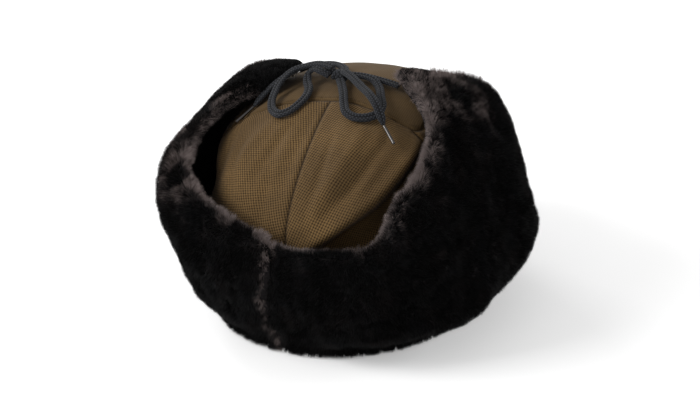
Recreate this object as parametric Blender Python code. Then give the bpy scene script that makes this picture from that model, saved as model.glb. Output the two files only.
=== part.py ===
"""Winter hat: a cloth crown inside fur ear flaps that are turned up and tied over the top with a cord.

Metres in Blender, +Z up. The hat stands on the floor on its rolled fur edge, and it faces -Y, so the
wearer's left is +X. Sizes below are millimetres and degrees. An angle round the hat is 0 at the centre
back and grows towards the wearer's left, to 180 at the centre front.
"""

import math
from typing import NamedTuple

import bmesh
import bpy
import numpy as np

MM = 0.001
ORIGIN = (7.72, -7.81, 0.0)  # moves the middle of the hat's footprint onto the Z axis

# Driving dimensions
CLOTH = 2.6  # wall of the crown: shell cloth with its padding
FLAP_CLOTH = 1.6
HEM_PILE = 8.0  # depth of the fur where it rolls under the hem
SEAM_GAP = 0.4  # between panels
LAYER_GAP = 0.9  # between a flap's cloth face and its fur
LEAN = 0.10  # the slack crown sags to the left: drop per unit of width
LEAN_FROM, LEAN_FULL = 90.0, 150.0  # heights between which it comes in
CORD = 4.4
BACK_CORNER, BACK_HEM = 58.0, 84.0  # angle of the back panels' side seam at its top and at the hem
BACK_COLUMNS, SIDE_COLUMNS = 15, 14  # points across each panel


class CrownRow(NamedTuple):
    """One level of the crown: how far out and how high its outer face is at the back, side and front."""

    back_out: float
    back_up: float
    side_out: float
    side_up: float
    front_out: float
    front_up: float
    fuller: float  # share by which the level swells at its four corners


CROWN = (
    CrownRow(101, 8, 81, 8, 101, 8, 0.00),
    CrownRow(107, 35, 86, 35, 104, 35, 0.01),
    CrownRow(113, 61, 88, 62, 104, 61, 0.02),
    CrownRow(117, 85, 87, 89, 101, 86, 0.03),
    CrownRow(111, 106, 84, 111, 94, 107, 0.05),
    CrownRow(93, 125, 76, 129, 81, 125, 0.07),
    CrownRow(69, 142, 62, 142, 62, 139, 0.08),
    CrownRow(35, 155, 35, 153, 35, 152, 0.06),
    CrownRow(0, 158, 0, 158, 0, 158, 0.00),
)
TOP_ROW = len(CROWN) - 1


class Fold(NamedTuple):
    """A crease or swell of the crown between two places, each an angle and a level of the crown."""

    angle: float
    level: float
    to_angle: float
    to_level: float
    depth: float  # outward, so a valley is negative
    width: float


FOLDS = (
    Fold(-12, 3.3, -52, 5.0, -8.0, 8.0),
    Fold(-34, 3.0, -62, 4.4, -4.0, 10.0),
    Fold(8, 4.4, 6, 6.4, -2.0, 7.0),
    Fold(52, 3.6, 74, 3.2, -6.0, 13.0),
    Fold(24, 3.4, 30, 5.4, 2.0, 12.0),
    Fold(-14, 4.2, -20, 6.2, 2.5, 12.0),
)


class FlapSection(NamedTuple):
    """A turned-up flap at one angle: its height up the crown, its distance off the crown, its fur's depth."""

    angle: float
    reach: float
    low: float
    middle: float
    high: float
    rim: float
    low_pile: float
    middle_pile: float
    rim_pile: float


STATIONS = (0.0, 0.2, 0.5, 0.8, 1.0)  # shares of the reach where the distances hold, from 0 at the hem
PILE_STATIONS = (0.0, 0.2, 0.5, 1.0)  # and where the depths hold

LEFT_FLAP = (
    FlapSection(0, 81, 1, 2, 2, 2, 8, 11, 12),
    FlapSection(3.5, 83, 1, 3, 3, 3, 12, 16, 15),
    FlapSection(7, 86, 1, 4, 5, 5, 13, 17, 16),
    FlapSection(20, 92, 3, 8, 11, 10, 15, 18, 18),
    FlapSection(32, 99, 5, 12, 18, 16, 16, 17, 19),
    FlapSection(43, 110, 6, 13, 21, 19, 16, 16, 20),
    FlapSection(53, 127, 6, 12, 20, 15, 15, 15, 18),
    FlapSection(61, 149, 6, 12, 17, 7, 15, 14, 12),
    FlapSection(69, 165, 6, 12, 13, 2, 15, 13, 8),
    FlapSection(78, 173, 6, 11, 12, 2, 15, 13, 7),
    FlapSection(96, 174, 6, 11, 11, 2, 15, 13, 7),
    FlapSection(107, 164, 7, 13, 10, 2, 16, 15, 9),
    FlapSection(116, 137, 6, 12, 11, 7, 15, 15, 11),
    FlapSection(126, 108, 4, 8, 9, 8, 15, 15, 13),
    FlapSection(136, 94, 3, 5, 5, 4, 14, 15, 14),
)
RIGHT_FLAP = (
    FlapSection(0, 81, 1, 2, 2, 2, 8, 11, 12),
    FlapSection(3.5, 81, 1, 3, 3, 3, 12, 16, 15),
    FlapSection(7, 81, 1, 3, 4, 4, 13, 17, 16),
    FlapSection(20, 84, 3, 8, 10, 10, 17, 19, 17),
    FlapSection(27, 84.5, 4.5, 11, 13, 12, 18, 20, 17),
    FlapSection(31, 86, 5.5, 12, 14, 13, 19, 21, 17),
    FlapSection(34, 90, 6, 13, 15, 14, 20, 21, 17),
    FlapSection(37, 98, 6.5, 14, 15, 14, 21, 21, 17),
    FlapSection(41, 106, 7.5, 14, 15, 13, 22, 22, 17),
    FlapSection(45, 109, 8, 15, 15, 12, 23, 22, 17),
    FlapSection(56, 129, 11, 15, 11, 8, 26, 21, 15),
    FlapSection(64, 148, 13, 13, 6, 4, 28, 19, 13),
    FlapSection(71, 166, 12, 11, 3, 2, 26, 18, 12),
    FlapSection(80, 176, 12, 11, 3, 2, 26, 17, 10),
    FlapSection(96, 176, 12, 11, 3, 2, 26, 19, 10),
    FlapSection(107, 162, 11, 9, 3, 2, 25, 21, 10),
    FlapSection(116, 134, 8, 9, 7, 5, 21, 19, 12),
    FlapSection(126, 108, 5, 8, 8, 7, 17, 16, 13),
    FlapSection(136, 94, 3, 5, 5, 4, 15, 16, 14),
)
VISOR = (
    FlapSection(139, 72, 1, 2, 3, 3, 14, 15, 14),
    FlapSection(143, 84, 1, 2, 3, 3, 15, 16, 15),
    FlapSection(152, 90, 1, 2, 3, 3, 15, 16, 15),
    FlapSection(180, 92, 1, 2, 3, 3, 15, 16, 15),
)


# The tie: one cord comes out of each flap's tip, and both are tied in a bow on the crown. Route points of
# each length of cord, in millimetres, from where it starts.
ROUTES = {
    "tie_lead_left": (
        (36.9, -1.5, 154.8), (29.0, -5.5, 157.8), (17.0, -8.0, 160.2), (8.0, -4.0, 161.4), (3.0, 2.0, 162.0),
        (2.0, 8.3, 162.3),
    ),
    "tie_lead_right": (
        (-38.2, 9.5, 159.6), (-29.0, 8.6, 160.7), (-20.0, 7.2, 161.2), (-11.0, 6.4, 161.4), (-2.8, 9.1, 162.0),
    ),
    "bow_loop_left": (
        (8.5, 16.0, 162.4), (14.0, 15.4, 164.2), (20.5, 13.2, 164.2), (24.0, 14.6, 160.8), (22.6, 20.0, 158.0),
        (18.2, 28.5, 156.4), (17.0, 38.0, 154.4), (19.4, 45.3, 151.6), (22.8, 51.6, 149.3), (28.0, 54.0, 147.3),
        (35.0, 49.5, 146.5), (39.4, 41.6, 148.6), (40.6, 33.0, 152.2), (39.4, 22.5, 157.6), (34.5, 14.0, 161.8),
        (26.5, 9.6, 164.2), (17.5, 9.2, 166.4), (11.6, 11.0, 167.2), (7.0, 12.7, 166.9),
    ),
    "bow_loop_right": (
        (-4.2, 13.2, 163.4), (-13.0, 12.8, 164.2), (-21.7, 14.2, 163.4), (-28.0, 20.0, 161.2), (-33.2, 30.5, 159.4),
        (-37.4, 39.6, 157.2), (-37.6, 47.0, 155.2), (-32.2, 53.0, 153.9), (-23.5, 55.4, 154.0), (-17.6, 52.6, 155.1),
        (-13.4, 45.6, 156.8), (-8.6, 34.6, 159.4), (-4.2, 25.6, 160.6), (0.0, 18.2, 161.6),
    ),
    "bow_end_left": (
        (6.9, 10.4, 162.5), (14.5, 4.6, 164.0), (22.5, 0.6, 162.8), (31.0, 2.0, 160.4), (39.0, 9.6, 156.8),
        (44.4, 18.0, 153.6), (49.2, 25.2, 148.8), (53.0, 30.4, 143.8), (54.8, 34.8, 140.6),
    ),
    "bow_end_right": (
        (-2.1, 16.0, 167.2), (-11.4, 24.2, 166.8), (-20.4, 32.6, 165.6), (-30.5, 42.6, 164.8), (-37.8, 49.8, 161.4),
        (-42.0, 53.6, 156.2), (-44.6, 56.2, 152.0),
    ),
}
KNOT = (1.8, 13.4, 162.7)
KNOT_HALF = (6.2, 5.0, 4.2)
AGLET, AGLET_LENGTH = 2.6, 16.0
AGLETS = {  # the way each metal tip points on from its cord
    "left": ("bow_end_left", (6.4, 11.0, -6.2)),
    "right": ("bow_end_right", (-8.8, 7.8, -6.2)),
}
CORD_GAP = 0.6
CORD_STEP = 9.0


def blend(place, places, values):
    """A smooth curve through values at places, read at place: cubic pieces with shared slopes."""
    places, values = np.asarray(places, float), np.asarray(values, float)
    slopes = np.gradient(values, places)
    place = np.clip(place, places[0], places[-1])
    i = np.clip(np.searchsorted(places, place, side="right") - 1, 0, len(places) - 2)
    span = places[i + 1] - places[i]
    t = (place - places[i]) / span
    start, end = values[i], values[i + 1]
    into, out = slopes[i] * span, slopes[i + 1] * span
    return (
        start * (1 + 2 * t) * (1 - t) ** 2
        + end * t**2 * (3 - 2 * t)
        + into * t * (1 - t) ** 2
        - out * t**2 * (1 - t)
    )


def ease(value, low, high):
    """0 below low, 1 above high, and a smooth step between."""
    t = np.clip((value - low) / (high - low), 0, 1)
    return t * t * (3 - 2 * t)


def column(table, name):
    """One named column of a table."""
    return [getattr(row, name) for row in table]


def crown_at(angle, level):
    """Point of the crown's smooth outer face, without its folds and its lean, for arrays of angle and level."""
    a = np.radians(angle)
    across, along = np.sin(a), np.cos(a)
    rows = range(len(CROWN))
    read = {name: blend(level, rows, column(CROWN, name)) for name in CrownRow._fields}
    fuller = 1 + read["fuller"] * np.sin(2 * a) ** 2
    back, front = np.clip(along, 0, 1) ** 2, np.clip(-along, 0, 1) ** 2
    length = np.where(along > 0, read["back_out"], read["front_out"])
    up = read["back_up"] * back + read["front_up"] * front + read["side_up"] * across**2
    return np.stack([read["side_out"] * across * fuller, length * along * fuller, up], axis=-1)


def crown_normal(angle, level):
    """Outward normal of crown_at."""
    step = 0.02
    level = np.clip(level, step, TOP_ROW - 2 * step)
    round_it = crown_at(angle - 1, level) - crown_at(angle + 1, level)
    upward = crown_at(angle, level + step) - crown_at(angle, level - step)
    normal = np.cross(round_it, upward)
    return normal / np.linalg.norm(normal, axis=-1, keepdims=True)


def lean(points):
    """Lets the slack upper part of the hat sag to one side."""
    points = points.copy()
    points[..., 2] -= LEAN * points[..., 0] * ease(points[..., 2], LEAN_FROM, LEAN_FULL)
    return points


def off_crown(angle, level, distance):
    """Points at a distance outside the crown's smooth face, with the hat's lean."""
    angle, level = np.broadcast_arrays(np.asarray(angle, float), np.asarray(level, float))
    distance = np.asarray(distance, float)[..., None]
    return lean(crown_at(angle, level) + crown_normal(angle, level) * distance)


def fold_depth(angle, level):
    """How far the folds move the crown's face outward."""
    per_degree, per_level = 1.4, 22.0  # millimetres on the crown, about
    place = np.stack([angle * per_degree, level * per_level], axis=-1)
    total = np.zeros(np.broadcast(angle, level).shape)
    for fold in FOLDS:
        start = np.array([fold.angle * per_degree, fold.level * per_level])
        line = np.array([fold.to_angle * per_degree, fold.to_level * per_level]) - start
        along = np.clip((place - start) @ line / (line @ line), 0, 1)
        away = np.linalg.norm(place - start - along[..., None] * line, axis=-1)
        ends = np.sin(math.pi * (0.15 + 0.7 * along))
        total += fold.depth * ends * np.exp(-((away / fold.width) ** 2))
    return total


def level_at(angle, reach):
    """Crown level that lies at a distance up the crown's face from the hem."""
    levels = np.linspace(0, TOP_ROW, 161)
    found = []
    for a, r in zip(np.ravel(angle), np.ravel(reach)):
        line = crown_at(np.full_like(levels, a), levels)
        run = np.concatenate([[0], np.cumsum(np.linalg.norm(np.diff(line, axis=0), axis=1))])
        found.append(np.interp(r, run, levels))
    return np.reshape(found, np.shape(reach))


TOP_HALF_WIDTH = 65.0
TOP_BACK, TOP_BACK_CURVE = 36.0, 10.0
TOP_FRONT = -66.0


def top_edge_level(angle):
    """Crown level of the seam round the top panel, whose outline in plan is a rounded rectangle."""
    levels = np.linspace(3.5, 7.6, 124)
    found = []
    for a in np.ravel(angle):
        x, y, _ = crown_at(np.full_like(levels, a), levels).T
        x = x / TOP_HALF_WIDTH
        back = TOP_BACK + TOP_BACK_CURVE * x**2
        y = np.where(y > 0, y / back, y / TOP_FRONT)
        outside = (np.abs(x) ** 8 + np.abs(y) ** 8) ** (1 / 8)
        found.append(np.interp(-1.0, -outside, levels))
    return np.reshape(found, np.shape(angle))


def clear_scene():
    """Removes what the scene holds."""
    for item in list(bpy.data.objects):
        bpy.data.objects.remove(item, do_unlink=True)


def material(name, colour, roughness, metallic=0.0):
    """A plain finish."""
    made = bpy.data.materials.new(name)
    made.use_nodes = True
    shader = made.node_tree.nodes["Principled BSDF"]
    shader.inputs["Base Color"].default_value = (*colour, 1)
    shader.inputs["Roughness"].default_value = roughness
    shader.inputs["Metallic"].default_value = metallic
    return made


def new_object(name, shape, finish):
    """An object from a bmesh whose points are in millimetres."""
    bmesh.ops.translate(shape, vec=ORIGIN, verts=shape.verts)
    bmesh.ops.scale(shape, vec=(MM, MM, MM), verts=shape.verts)
    bmesh.ops.recalc_face_normals(shape, faces=shape.faces)
    mesh = bpy.data.meshes.new(name)
    shape.to_mesh(mesh)
    shape.free()
    mesh.shade_smooth()
    mesh.set_sharp_from_angle(angle=math.radians(50))
    mesh.materials.append(finish)
    made = bpy.data.objects.new(name, mesh)
    bpy.context.scene.collection.objects.link(made)
    return made


def grid_faces(shape, grid):
    """Two triangles in each cell of a grid of verts, split the way loft splits its own."""
    for low, high in zip(grid[:-1], grid[1:]):
        for a, b, c, d in zip(low[:-1], low[1:], high[1:], high[:-1]):
            shape.faces.new((a, b, d))
            shape.faces.new((b, c, d))


def slab(outer, inner):
    """A closed wall between two grids of points of the same size."""
    shape = bmesh.new()
    faces = [[[shape.verts.new(p) for p in row] for row in grid] for grid in (outer, inner)]
    grid_faces(shape, faces[0])
    grid_faces(shape, faces[1])
    edges = []
    for grid in faces:
        edge = grid[0] + [row[-1] for row in grid[1:]] + grid[-1][-2::-1]
        edges.append(edge + [row[0] for row in grid[-2:0:-1]])
    for i in range(len(edges[0])):
        j = (i + 1) % len(edges[0])
        shape.faces.new((edges[0][j], edges[0][i], edges[1][i], edges[1][j]))
    return shape


def loft(rings):
    """A closed solid through closed rings of points, with flat ends."""
    shape = bmesh.new()
    made = [[shape.verts.new(p) for p in ring] for ring in rings]
    for low, high in zip(made[:-1], made[1:]):
        for i in range(len(low)):
            j = (i + 1) % len(low)
            shape.faces.new((low[i], low[j], high[j]))
            shape.faces.new((low[i], high[j], high[i]))
    for end in (made[0], made[-1]):
        bmesh.ops.triangulate(shape, faces=[shape.faces.new(end)])
    return shape


def crown_wall(angle, level):
    """Outer and inner face of the crown's cloth."""
    fold = fold_depth(angle, level)
    return off_crown(angle, level, fold), off_crown(angle, level, fold - CLOTH)


def half_gap(angle):
    """Degrees that half a seam's gap takes."""
    return SEAM_GAP / 2 / 80 * 180 / math.pi


def side_seam(share):
    """Angle of the seam between the back and side panels, at a share of the wall's height."""
    return BACK_HEM + (BACK_CORNER - BACK_HEM) * np.asarray(share) ** 1.5


def top_ring():
    """Angles at which the wall's panels and the top panel meet, round from the centre back."""
    back = np.linspace(0, BACK_CORNER, BACK_COLUMNS)
    side = np.linspace(BACK_CORNER, 180, SIDE_COLUMNS)[1:]
    half = np.concatenate([back, side])
    return np.concatenate([half, -half[-2:0:-1]])


def wall_panel(name, side, first, last, columns, rows, finish):
    """A panel of the crown's wall from one seam to the next; side is 1 for the left and -1 for the right."""
    share = np.linspace(0, 1, rows)[:, None]
    across = np.linspace(0, 1, columns)[None, :]
    start, end = first(share) + half_gap(0), last(share) - half_gap(0)
    angle = side * (start + (end - start) * across)
    top = top_edge_level(angle[-1]) - 0.012
    level = share * top[None, :]
    outer, inner = crown_wall(angle, level)
    return new_object(name, slab(outer, inner), finish)


def crown_top(finish):
    """The top panel: rings round its middle, inside the seam."""
    angle = top_ring()
    edge = top_edge_level(angle) + 0.012
    shape = bmesh.new()
    faces = []
    for thick in (0, CLOTH):
        rings = []
        for share in (0, 0.2, 0.45, 0.72):
            level = edge + (TOP_ROW - edge) * share
            fold = fold_depth(angle, level)
            ring = off_crown(angle, level, fold - thick)
            rings.append([shape.verts.new(p) for p in ring])
        middle = shape.verts.new(off_crown(np.array([0.0]), np.array([TOP_ROW]), np.array([-thick]))[0])
        for low, high in zip(rings[:-1], rings[1:]):
            for i in range(len(low)):
                j = (i + 1) % len(low)
                shape.faces.new((low[i], low[j], high[j], high[i]))
        for i in range(len(rings[-1])):
            shape.faces.new((rings[-1][i], rings[-1][(i + 1) % len(rings[-1])], middle))
        faces.append(rings[0])
    for i in range(len(faces[0])):
        j = (i + 1) % len(faces[0])
        shape.faces.new((faces[0][i], faces[0][j], faces[1][j], faces[1][i]))
    return new_object("crown_top", shape, finish)


def crown(finish):
    """The five cloth panels of the crown."""
    for name, side in (("left", 1), ("right", -1)):
        wall_panel(f"crown_back_{name}", side, lambda s: 0 * s, side_seam, BACK_COLUMNS, 13, finish)
        wall_panel(f"crown_side_{name}", side, side_seam, lambda s: 180 + 0 * s, SIDE_COLUMNS, 11, finish)
    crown_top(finish)


def stand_off(table, angle, share):
    """How far a flap's inner face stands off the crown at a share of its reach."""
    station = [np.zeros_like(angle)]
    station += [blend(angle, column(table, "angle"), column(table, n)) for n in ("low", "middle", "high", "rim")]
    return blend_rows(share, STATIONS, station)


def blend_rows(share, places, values):
    """blend for one share of several values at once."""
    values = np.stack(values)
    slopes = np.gradient(values, places, axis=0)
    i = int(np.clip(np.searchsorted(places, share, side="right") - 1, 0, len(places) - 2))
    span = places[i + 1] - places[i]
    t = (share - places[i]) / span
    return (
        values[i] * (1 + 2 * t) * (1 - t) ** 2
        + values[i + 1] * t**2 * (3 - 2 * t)
        + slopes[i] * span * t * (1 - t) ** 2
        - slopes[i + 1] * span * t**2 * (1 - t)
    )


def pile_depth(table, angle, share):
    """Depth of the fur at a share of a flap's reach."""
    values = [np.full_like(angle, HEM_PILE)]
    values += [blend(angle, column(table, "angle"), column(table, n)) for n in ("low_pile", "middle_pile", "rim_pile")]
    return blend_rows(share, PILE_STATIONS, values)


def locks(angle, reach):
    """Low swells of the pile, where its locks part: millimetres outward."""
    wave = np.sin(angle * 0.31 + 1.3 * np.sin(reach * 0.055)) * np.sin(reach * 0.105 + 0.8 * np.sin(angle * 0.17))
    ripple = np.sin(angle * 0.83 + reach * 0.21) * np.sin(reach * 0.24 - angle * 0.4)
    return 0.9 * wave + 0.5 * ripple


SHARES = np.linspace(0.03, 0.97, 11)  # shares of a flap's reach at which its faces have points


def flap_angles(table, count):
    """Angles of a flap's sections, closer together where its reach changes fast."""
    angles = np.linspace(table[0].angle, table[-1].angle, 400)
    reach = blend(angles, column(table, "angle"), column(table, "reach"))
    run = np.concatenate([[0], np.cumsum(np.hypot(np.diff(angles) * 1.6, np.diff(reach)))])
    return np.interp(np.linspace(0, run[-1], count), run, angles)


def flap_rings(table, side, angles, inner_gap):
    """Closed cross-sections of a flap's pile: up its outer face, over the rim and down its inner face."""
    rings = []
    for angle in angles:
        one = np.array([angle])
        reach = float(blend(one, column(table, "angle"), column(table, "reach"))[0])
        depth = float(pile_depth(table, one, 1.0)[0])
        outer, inner = [], []
        for share in SHARES:
            off = float(stand_off(table, one, share)[0])
            thick = float(pile_depth(table, one, share)[0])
            level = float(level_at(one, np.array([share * reach]))[0])
            swell = float(locks(side * angle, share * reach)) * float(np.sin(math.pi * min(1, share * 1.1)) ** 0.5)
            rounding = 1 - 0.12 * float(ease(share, 0.8, 0.97))
            outer.append((level, off + thick * rounding + swell))
            inner.append((level, off + inner_gap))
        rim_off = float(stand_off(table, one, 1.0)[0])
        cap = []
        half = (depth * 0.88 - inner_gap) / 2
        last = SHARES[-1] * reach
        for turn in (35, 70, 110, 145):
            t = math.radians(turn)
            level = float(level_at(one, np.array([last + half * 0.75 * math.sin(t)]))[0])
            cap.append((level, rim_off + inner_gap + half + half * math.cos(t)))
        line = outer + cap + inner[::-2]
        levels, offs = np.array(line).T
        ring = off_crown(np.full_like(levels, side * angle), levels, offs)
        hem = hem_roll(side * angle, depth_out=outer[0][1], gap=inner_gap)
        rings.append(np.concatenate([ring, hem]))
    return rings


def hem_roll(angle, depth_out, gap):
    """The fur's rolled lower edge: from the inner face, flat on the floor, round to the outer face."""
    base = crown_at(np.array([angle]), np.array([0.0]))[0]
    out = crown_normal(np.array([angle]), np.array([0.0]))[0] * (1, 1, 0)
    out = out / np.linalg.norm(out)
    points = []
    for share, height in ((0.0, 5.0), (0.22, 0.0), (0.72, 0.0), (0.95, 3.4)):
        p = base + out * (gap + (depth_out - gap) * share)
        points.append((p[0], p[1], height))
    return np.array(points)


def flap_cloth(name, table, side, angles, finish):
    """The cloth face of a flap, on its side towards the crown."""
    outer, inner = [], []
    for share in SHARES[::2]:
        reach = blend(angles, column(table, "angle"), column(table, "reach")) * share
        level = level_at(angles, reach)
        off = stand_off(table, angles, share) + SEAM_GAP
        inner.append(off_crown(side * angles, level, off))
        outer.append(off_crown(side * angles, level, off + FLAP_CLOTH))
    return new_object(name, slab(np.array(outer), np.array(inner)), finish)


def flap(name, table, side, count, fur, cloth):
    """A turned-up flap: its pile and its cloth face."""
    angles = flap_angles(table, count)
    angles[0] += half_gap(0)
    rings = flap_rings(table, side, angles, SEAM_GAP + FLAP_CLOTH + LAYER_GAP)
    new_object(f"fur_{name}", loft(rings), fur)
    flap_cloth(f"{name}_cloth", table, side, angles, cloth)


def visor(fur, cloth):
    """The front flap, which lies against the crown's front."""
    mirrored = [row._replace(angle=360 - row.angle) for row in VISOR[-2::-1]]
    flap("visor", VISOR + tuple(mirrored), 1, 17, fur, cloth)


def route(points, step):
    """Points every step or so along the smooth curve through the route points."""
    points = np.array(points, float)
    run = np.concatenate([[0], np.cumsum(np.linalg.norm(np.diff(points, axis=0), axis=1))])
    count = max(3, round(run[-1] / step))
    places = np.linspace(0, run[-1], count + 1)
    return np.stack([blend(places, run, points[:, i]) for i in range(3)], axis=1)


def cord(name, finish):
    """One length of the tie's cord."""
    data = bpy.data.curves.new(name, "CURVE")
    data.dimensions = "3D"
    points = (route(ROUTES[name], CORD_STEP) + ORIGIN) * MM
    spline = data.splines.new("POLY")
    spline.points.add(len(points) - 1)
    for made, p in zip(spline.points, points):
        made.co = (*p, 1)
    data.bevel_depth = CORD / 2 * MM
    data.bevel_resolution = 2
    data.use_fill_caps = True
    data.materials.append(finish)
    bpy.context.scene.collection.objects.link(bpy.data.objects.new(name, data))


def knot(finish):
    """The knot: a rounded lump with the swells of the cord wrapped round it."""
    shape = bmesh.new()
    bmesh.ops.create_icosphere(shape, subdivisions=2, radius=1)
    half = np.array(KNOT_HALF)
    for v in shape.verts:
        p = np.array(v.co)
        wrap = 0.07 * math.sin(5 * math.atan2(p[2], p[1]) + 3 * p[0])
        v.co = np.array(KNOT) + p * half * (1 + wrap - 0.04)
    new_object("bow_knot", shape, finish)


def aglet(side, finish):
    """A metal tip that carries on where its cord ends."""
    name, way = AGLETS[side]
    end = np.array(ROUTES[name][-1])
    way = np.array(way) / np.linalg.norm(way)
    flat = np.cross(way, (0, 0, 1))
    flat /= np.linalg.norm(flat)
    up = np.cross(flat, way)
    rings = []
    for along, half in ((0, 0.86), (0.6, 1), (AGLET_LENGTH - 1.2, 1), (AGLET_LENGTH - 0.4, 0.8), (AGLET_LENGTH, 0.4)):
        turns = np.linspace(0, 2 * math.pi, 11)[:-1, None]
        spoke = np.cos(turns) * flat + np.sin(turns) * up
        rings.append(end + way * (CORD_GAP + along) + spoke * half * AGLET / 2)
    new_object(f"aglet_{side}", loft(rings), finish)


def tie(finish, metal):
    """The tie and its bow."""
    for name in ROUTES:
        cord(name, finish)
    knot(finish)
    for side in AGLETS:
        aglet(side, metal)


def build():
    """Builds the hat."""
    clear_scene()
    cloth = material("brown_cloth", (0.16, 0.11, 0.06), 0.9)
    facing = material("dark_cloth", (0.02, 0.018, 0.018), 0.95)
    fur = material("dark_fur", (0.012, 0.010, 0.011), 0.95)
    crown(cloth)
    flap("flap_left", LEFT_FLAP, 1, 39, fur, facing)
    flap("flap_right", RIGHT_FLAP, -1, 39, fur, facing)
    visor(fur, facing)
    tie(material("grey_cord", (0.045, 0.055, 0.075), 0.8), material("steel", (0.5, 0.48, 0.46), 0.35, 1.0))


build()
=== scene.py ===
"""Winter hat, dressed: waffle-weave crown, deep dark pile on the turned-up flaps, and a laced bow on top.

The hat stands on its rolled fur edge and faces -Y, so the wearer's left is +X. Shapes are worked out in
millimetres and scaled to metres when their meshes are made. An angle round the hat is 0 at the centre back
and grows towards the wearer's left, to 180 at the centre front.
"""

from __future__ import annotations

import logging
import math
from collections.abc import Sequence
from dataclasses import dataclass, field
from enum import Enum
from typing import NamedTuple

import bpy
import numpy as np
from mathutils import Matrix, Vector

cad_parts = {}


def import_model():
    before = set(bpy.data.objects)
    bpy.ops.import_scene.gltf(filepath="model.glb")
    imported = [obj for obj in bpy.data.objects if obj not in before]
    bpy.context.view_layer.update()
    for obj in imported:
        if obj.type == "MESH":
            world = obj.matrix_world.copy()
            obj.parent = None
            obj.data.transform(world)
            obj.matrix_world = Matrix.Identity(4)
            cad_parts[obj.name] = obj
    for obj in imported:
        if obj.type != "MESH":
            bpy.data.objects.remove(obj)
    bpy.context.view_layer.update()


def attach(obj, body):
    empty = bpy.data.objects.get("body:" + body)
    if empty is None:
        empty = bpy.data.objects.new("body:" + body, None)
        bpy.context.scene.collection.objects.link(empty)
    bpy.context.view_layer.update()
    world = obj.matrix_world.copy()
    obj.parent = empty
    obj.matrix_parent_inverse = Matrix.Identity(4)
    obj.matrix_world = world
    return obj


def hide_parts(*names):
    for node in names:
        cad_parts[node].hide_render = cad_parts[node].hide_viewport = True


LOG = logging.getLogger("winter_hat")
MM = 0.001
# Moves every point so that the middle of the hat's footprint lies on the Z axis.
ORIGIN = np.array((7.72, -7.81, 0.0))
# About how many millimetres a degree and a level are on the crown's face.
FACE_SCALE = np.array([1.4, 22.0])
# Millimetres round the lace.
LACE_ROUND = 9.6
Colour = tuple[float, float, float]


class Side(Enum):
    """A side of the wearer, and its sign along X."""

    LEFT = 1
    RIGHT = -1

    @property
    def word(self) -> str:
        """The side's name in a piece's name."""
        return self.name.lower()


class CrownRow(NamedTuple):
    """One level of the crown: how far out and how high its face is at the back, side and front."""

    back_out: float
    back_up: float
    side_out: float
    side_up: float
    front_out: float
    front_up: float
    fuller: float


class Fold(NamedTuple):
    """A crease or swell between two places, each an angle and a level of the crown."""

    angle: float
    level: float
    to_angle: float
    to_level: float
    depth: float
    width: float


class FlapSection(NamedTuple):
    """A turned-up flap at one angle: its height, its distance off the crown and the depth of its fur."""

    angle: float
    reach: float
    low: float
    middle: float
    high: float
    rim: float
    low_pile: float
    middle_pile: float
    rim_pile: float


CROWN = (
    CrownRow(101, 8, 81, 8, 101, 8, 0.00),
    CrownRow(107, 35, 86, 35, 104, 35, 0.01),
    CrownRow(113, 61, 88, 62, 104, 61, 0.02),
    CrownRow(117, 85, 87, 89, 101, 86, 0.03),
    CrownRow(111, 106, 84, 111, 94, 107, 0.05),
    CrownRow(93, 125, 76, 129, 81, 125, 0.07),
    CrownRow(69, 142, 62, 142, 62, 139, 0.08),
    CrownRow(35, 155, 35, 153, 35, 152, 0.06),
    CrownRow(0, 158, 0, 158, 0, 158, 0.00),
)
TOP_ROW = len(CROWN) - 1
FOLDS = (
    Fold(8, 4.4, 6, 6.4, -2.0, 7.0),
    Fold(52, 3.6, 74, 3.2, -6.0, 13.0),
    Fold(24, 3.4, 30, 5.4, 2.0, 12.0),
    Fold(-14, 4.2, -20, 6.2, 2.5, 12.0),
)
FINE_FOLDS = (
    Fold(-16, 4.0, -44, 5.9, -1.8, 4.0),
    Fold(-11, 4.2, -30, 6.1, 1.3, 4.5),
    Fold(22, 4.6, 19, 6.2, -1.3, 4.5),
    Fold(34, 4.4, 33, 6.0, 1.2, 5.0),
    Fold(46, 4.0, 50, 5.4, -1.5, 6.0),
    Fold(-8, 3.9, -13, 5.9, -0.9, 3.0),
    Fold(12, 3.6, 17, 5.6, -0.8, 3.5),
    Fold(30, 4.0, 40, 5.4, -0.9, 4.0),
    Fold(-27, 4.2, -40, 5.6, 0.8, 4.0),
    Fold(-22, 3.2, -34, 3.9, -1.2, 4.0),
)
LEFT_FLAP = (
    FlapSection(0, 82, 1, 3, 3, 3, 11, 14.5, 14.5),
    FlapSection(3.5, 83, 1, 3, 3, 3, 12, 16, 15),
    FlapSection(7, 86, 1, 4, 5, 5, 13, 17, 16),
    FlapSection(20, 92, 3, 8, 11, 10, 15, 18, 18),
    FlapSection(32, 99, 5, 12, 18, 16, 16, 17, 19),
    FlapSection(43, 110, 6, 13, 21, 19, 16, 16, 20),
    FlapSection(53, 127, 6, 12, 20, 15, 15, 15, 18),
    FlapSection(61, 147, 6, 12, 17, 7, 15, 14, 12),
    FlapSection(69, 160, 6, 12, 13, 2, 15, 13, 8),
    FlapSection(78, 170, 6, 11, 12, 2, 15, 13, 7),
    FlapSection(96, 174, 6, 11, 11, 2, 15, 13, 7),
    FlapSection(107, 164, 7, 13, 10, 2, 16, 15, 9),
    FlapSection(116, 137, 6, 12, 11, 7, 15, 15, 11),
    FlapSection(126, 108, 4, 8, 9, 8, 15, 15, 13),
    FlapSection(137.3, 93, 3, 5, 5, 4, 14, 15, 14),
)
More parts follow.
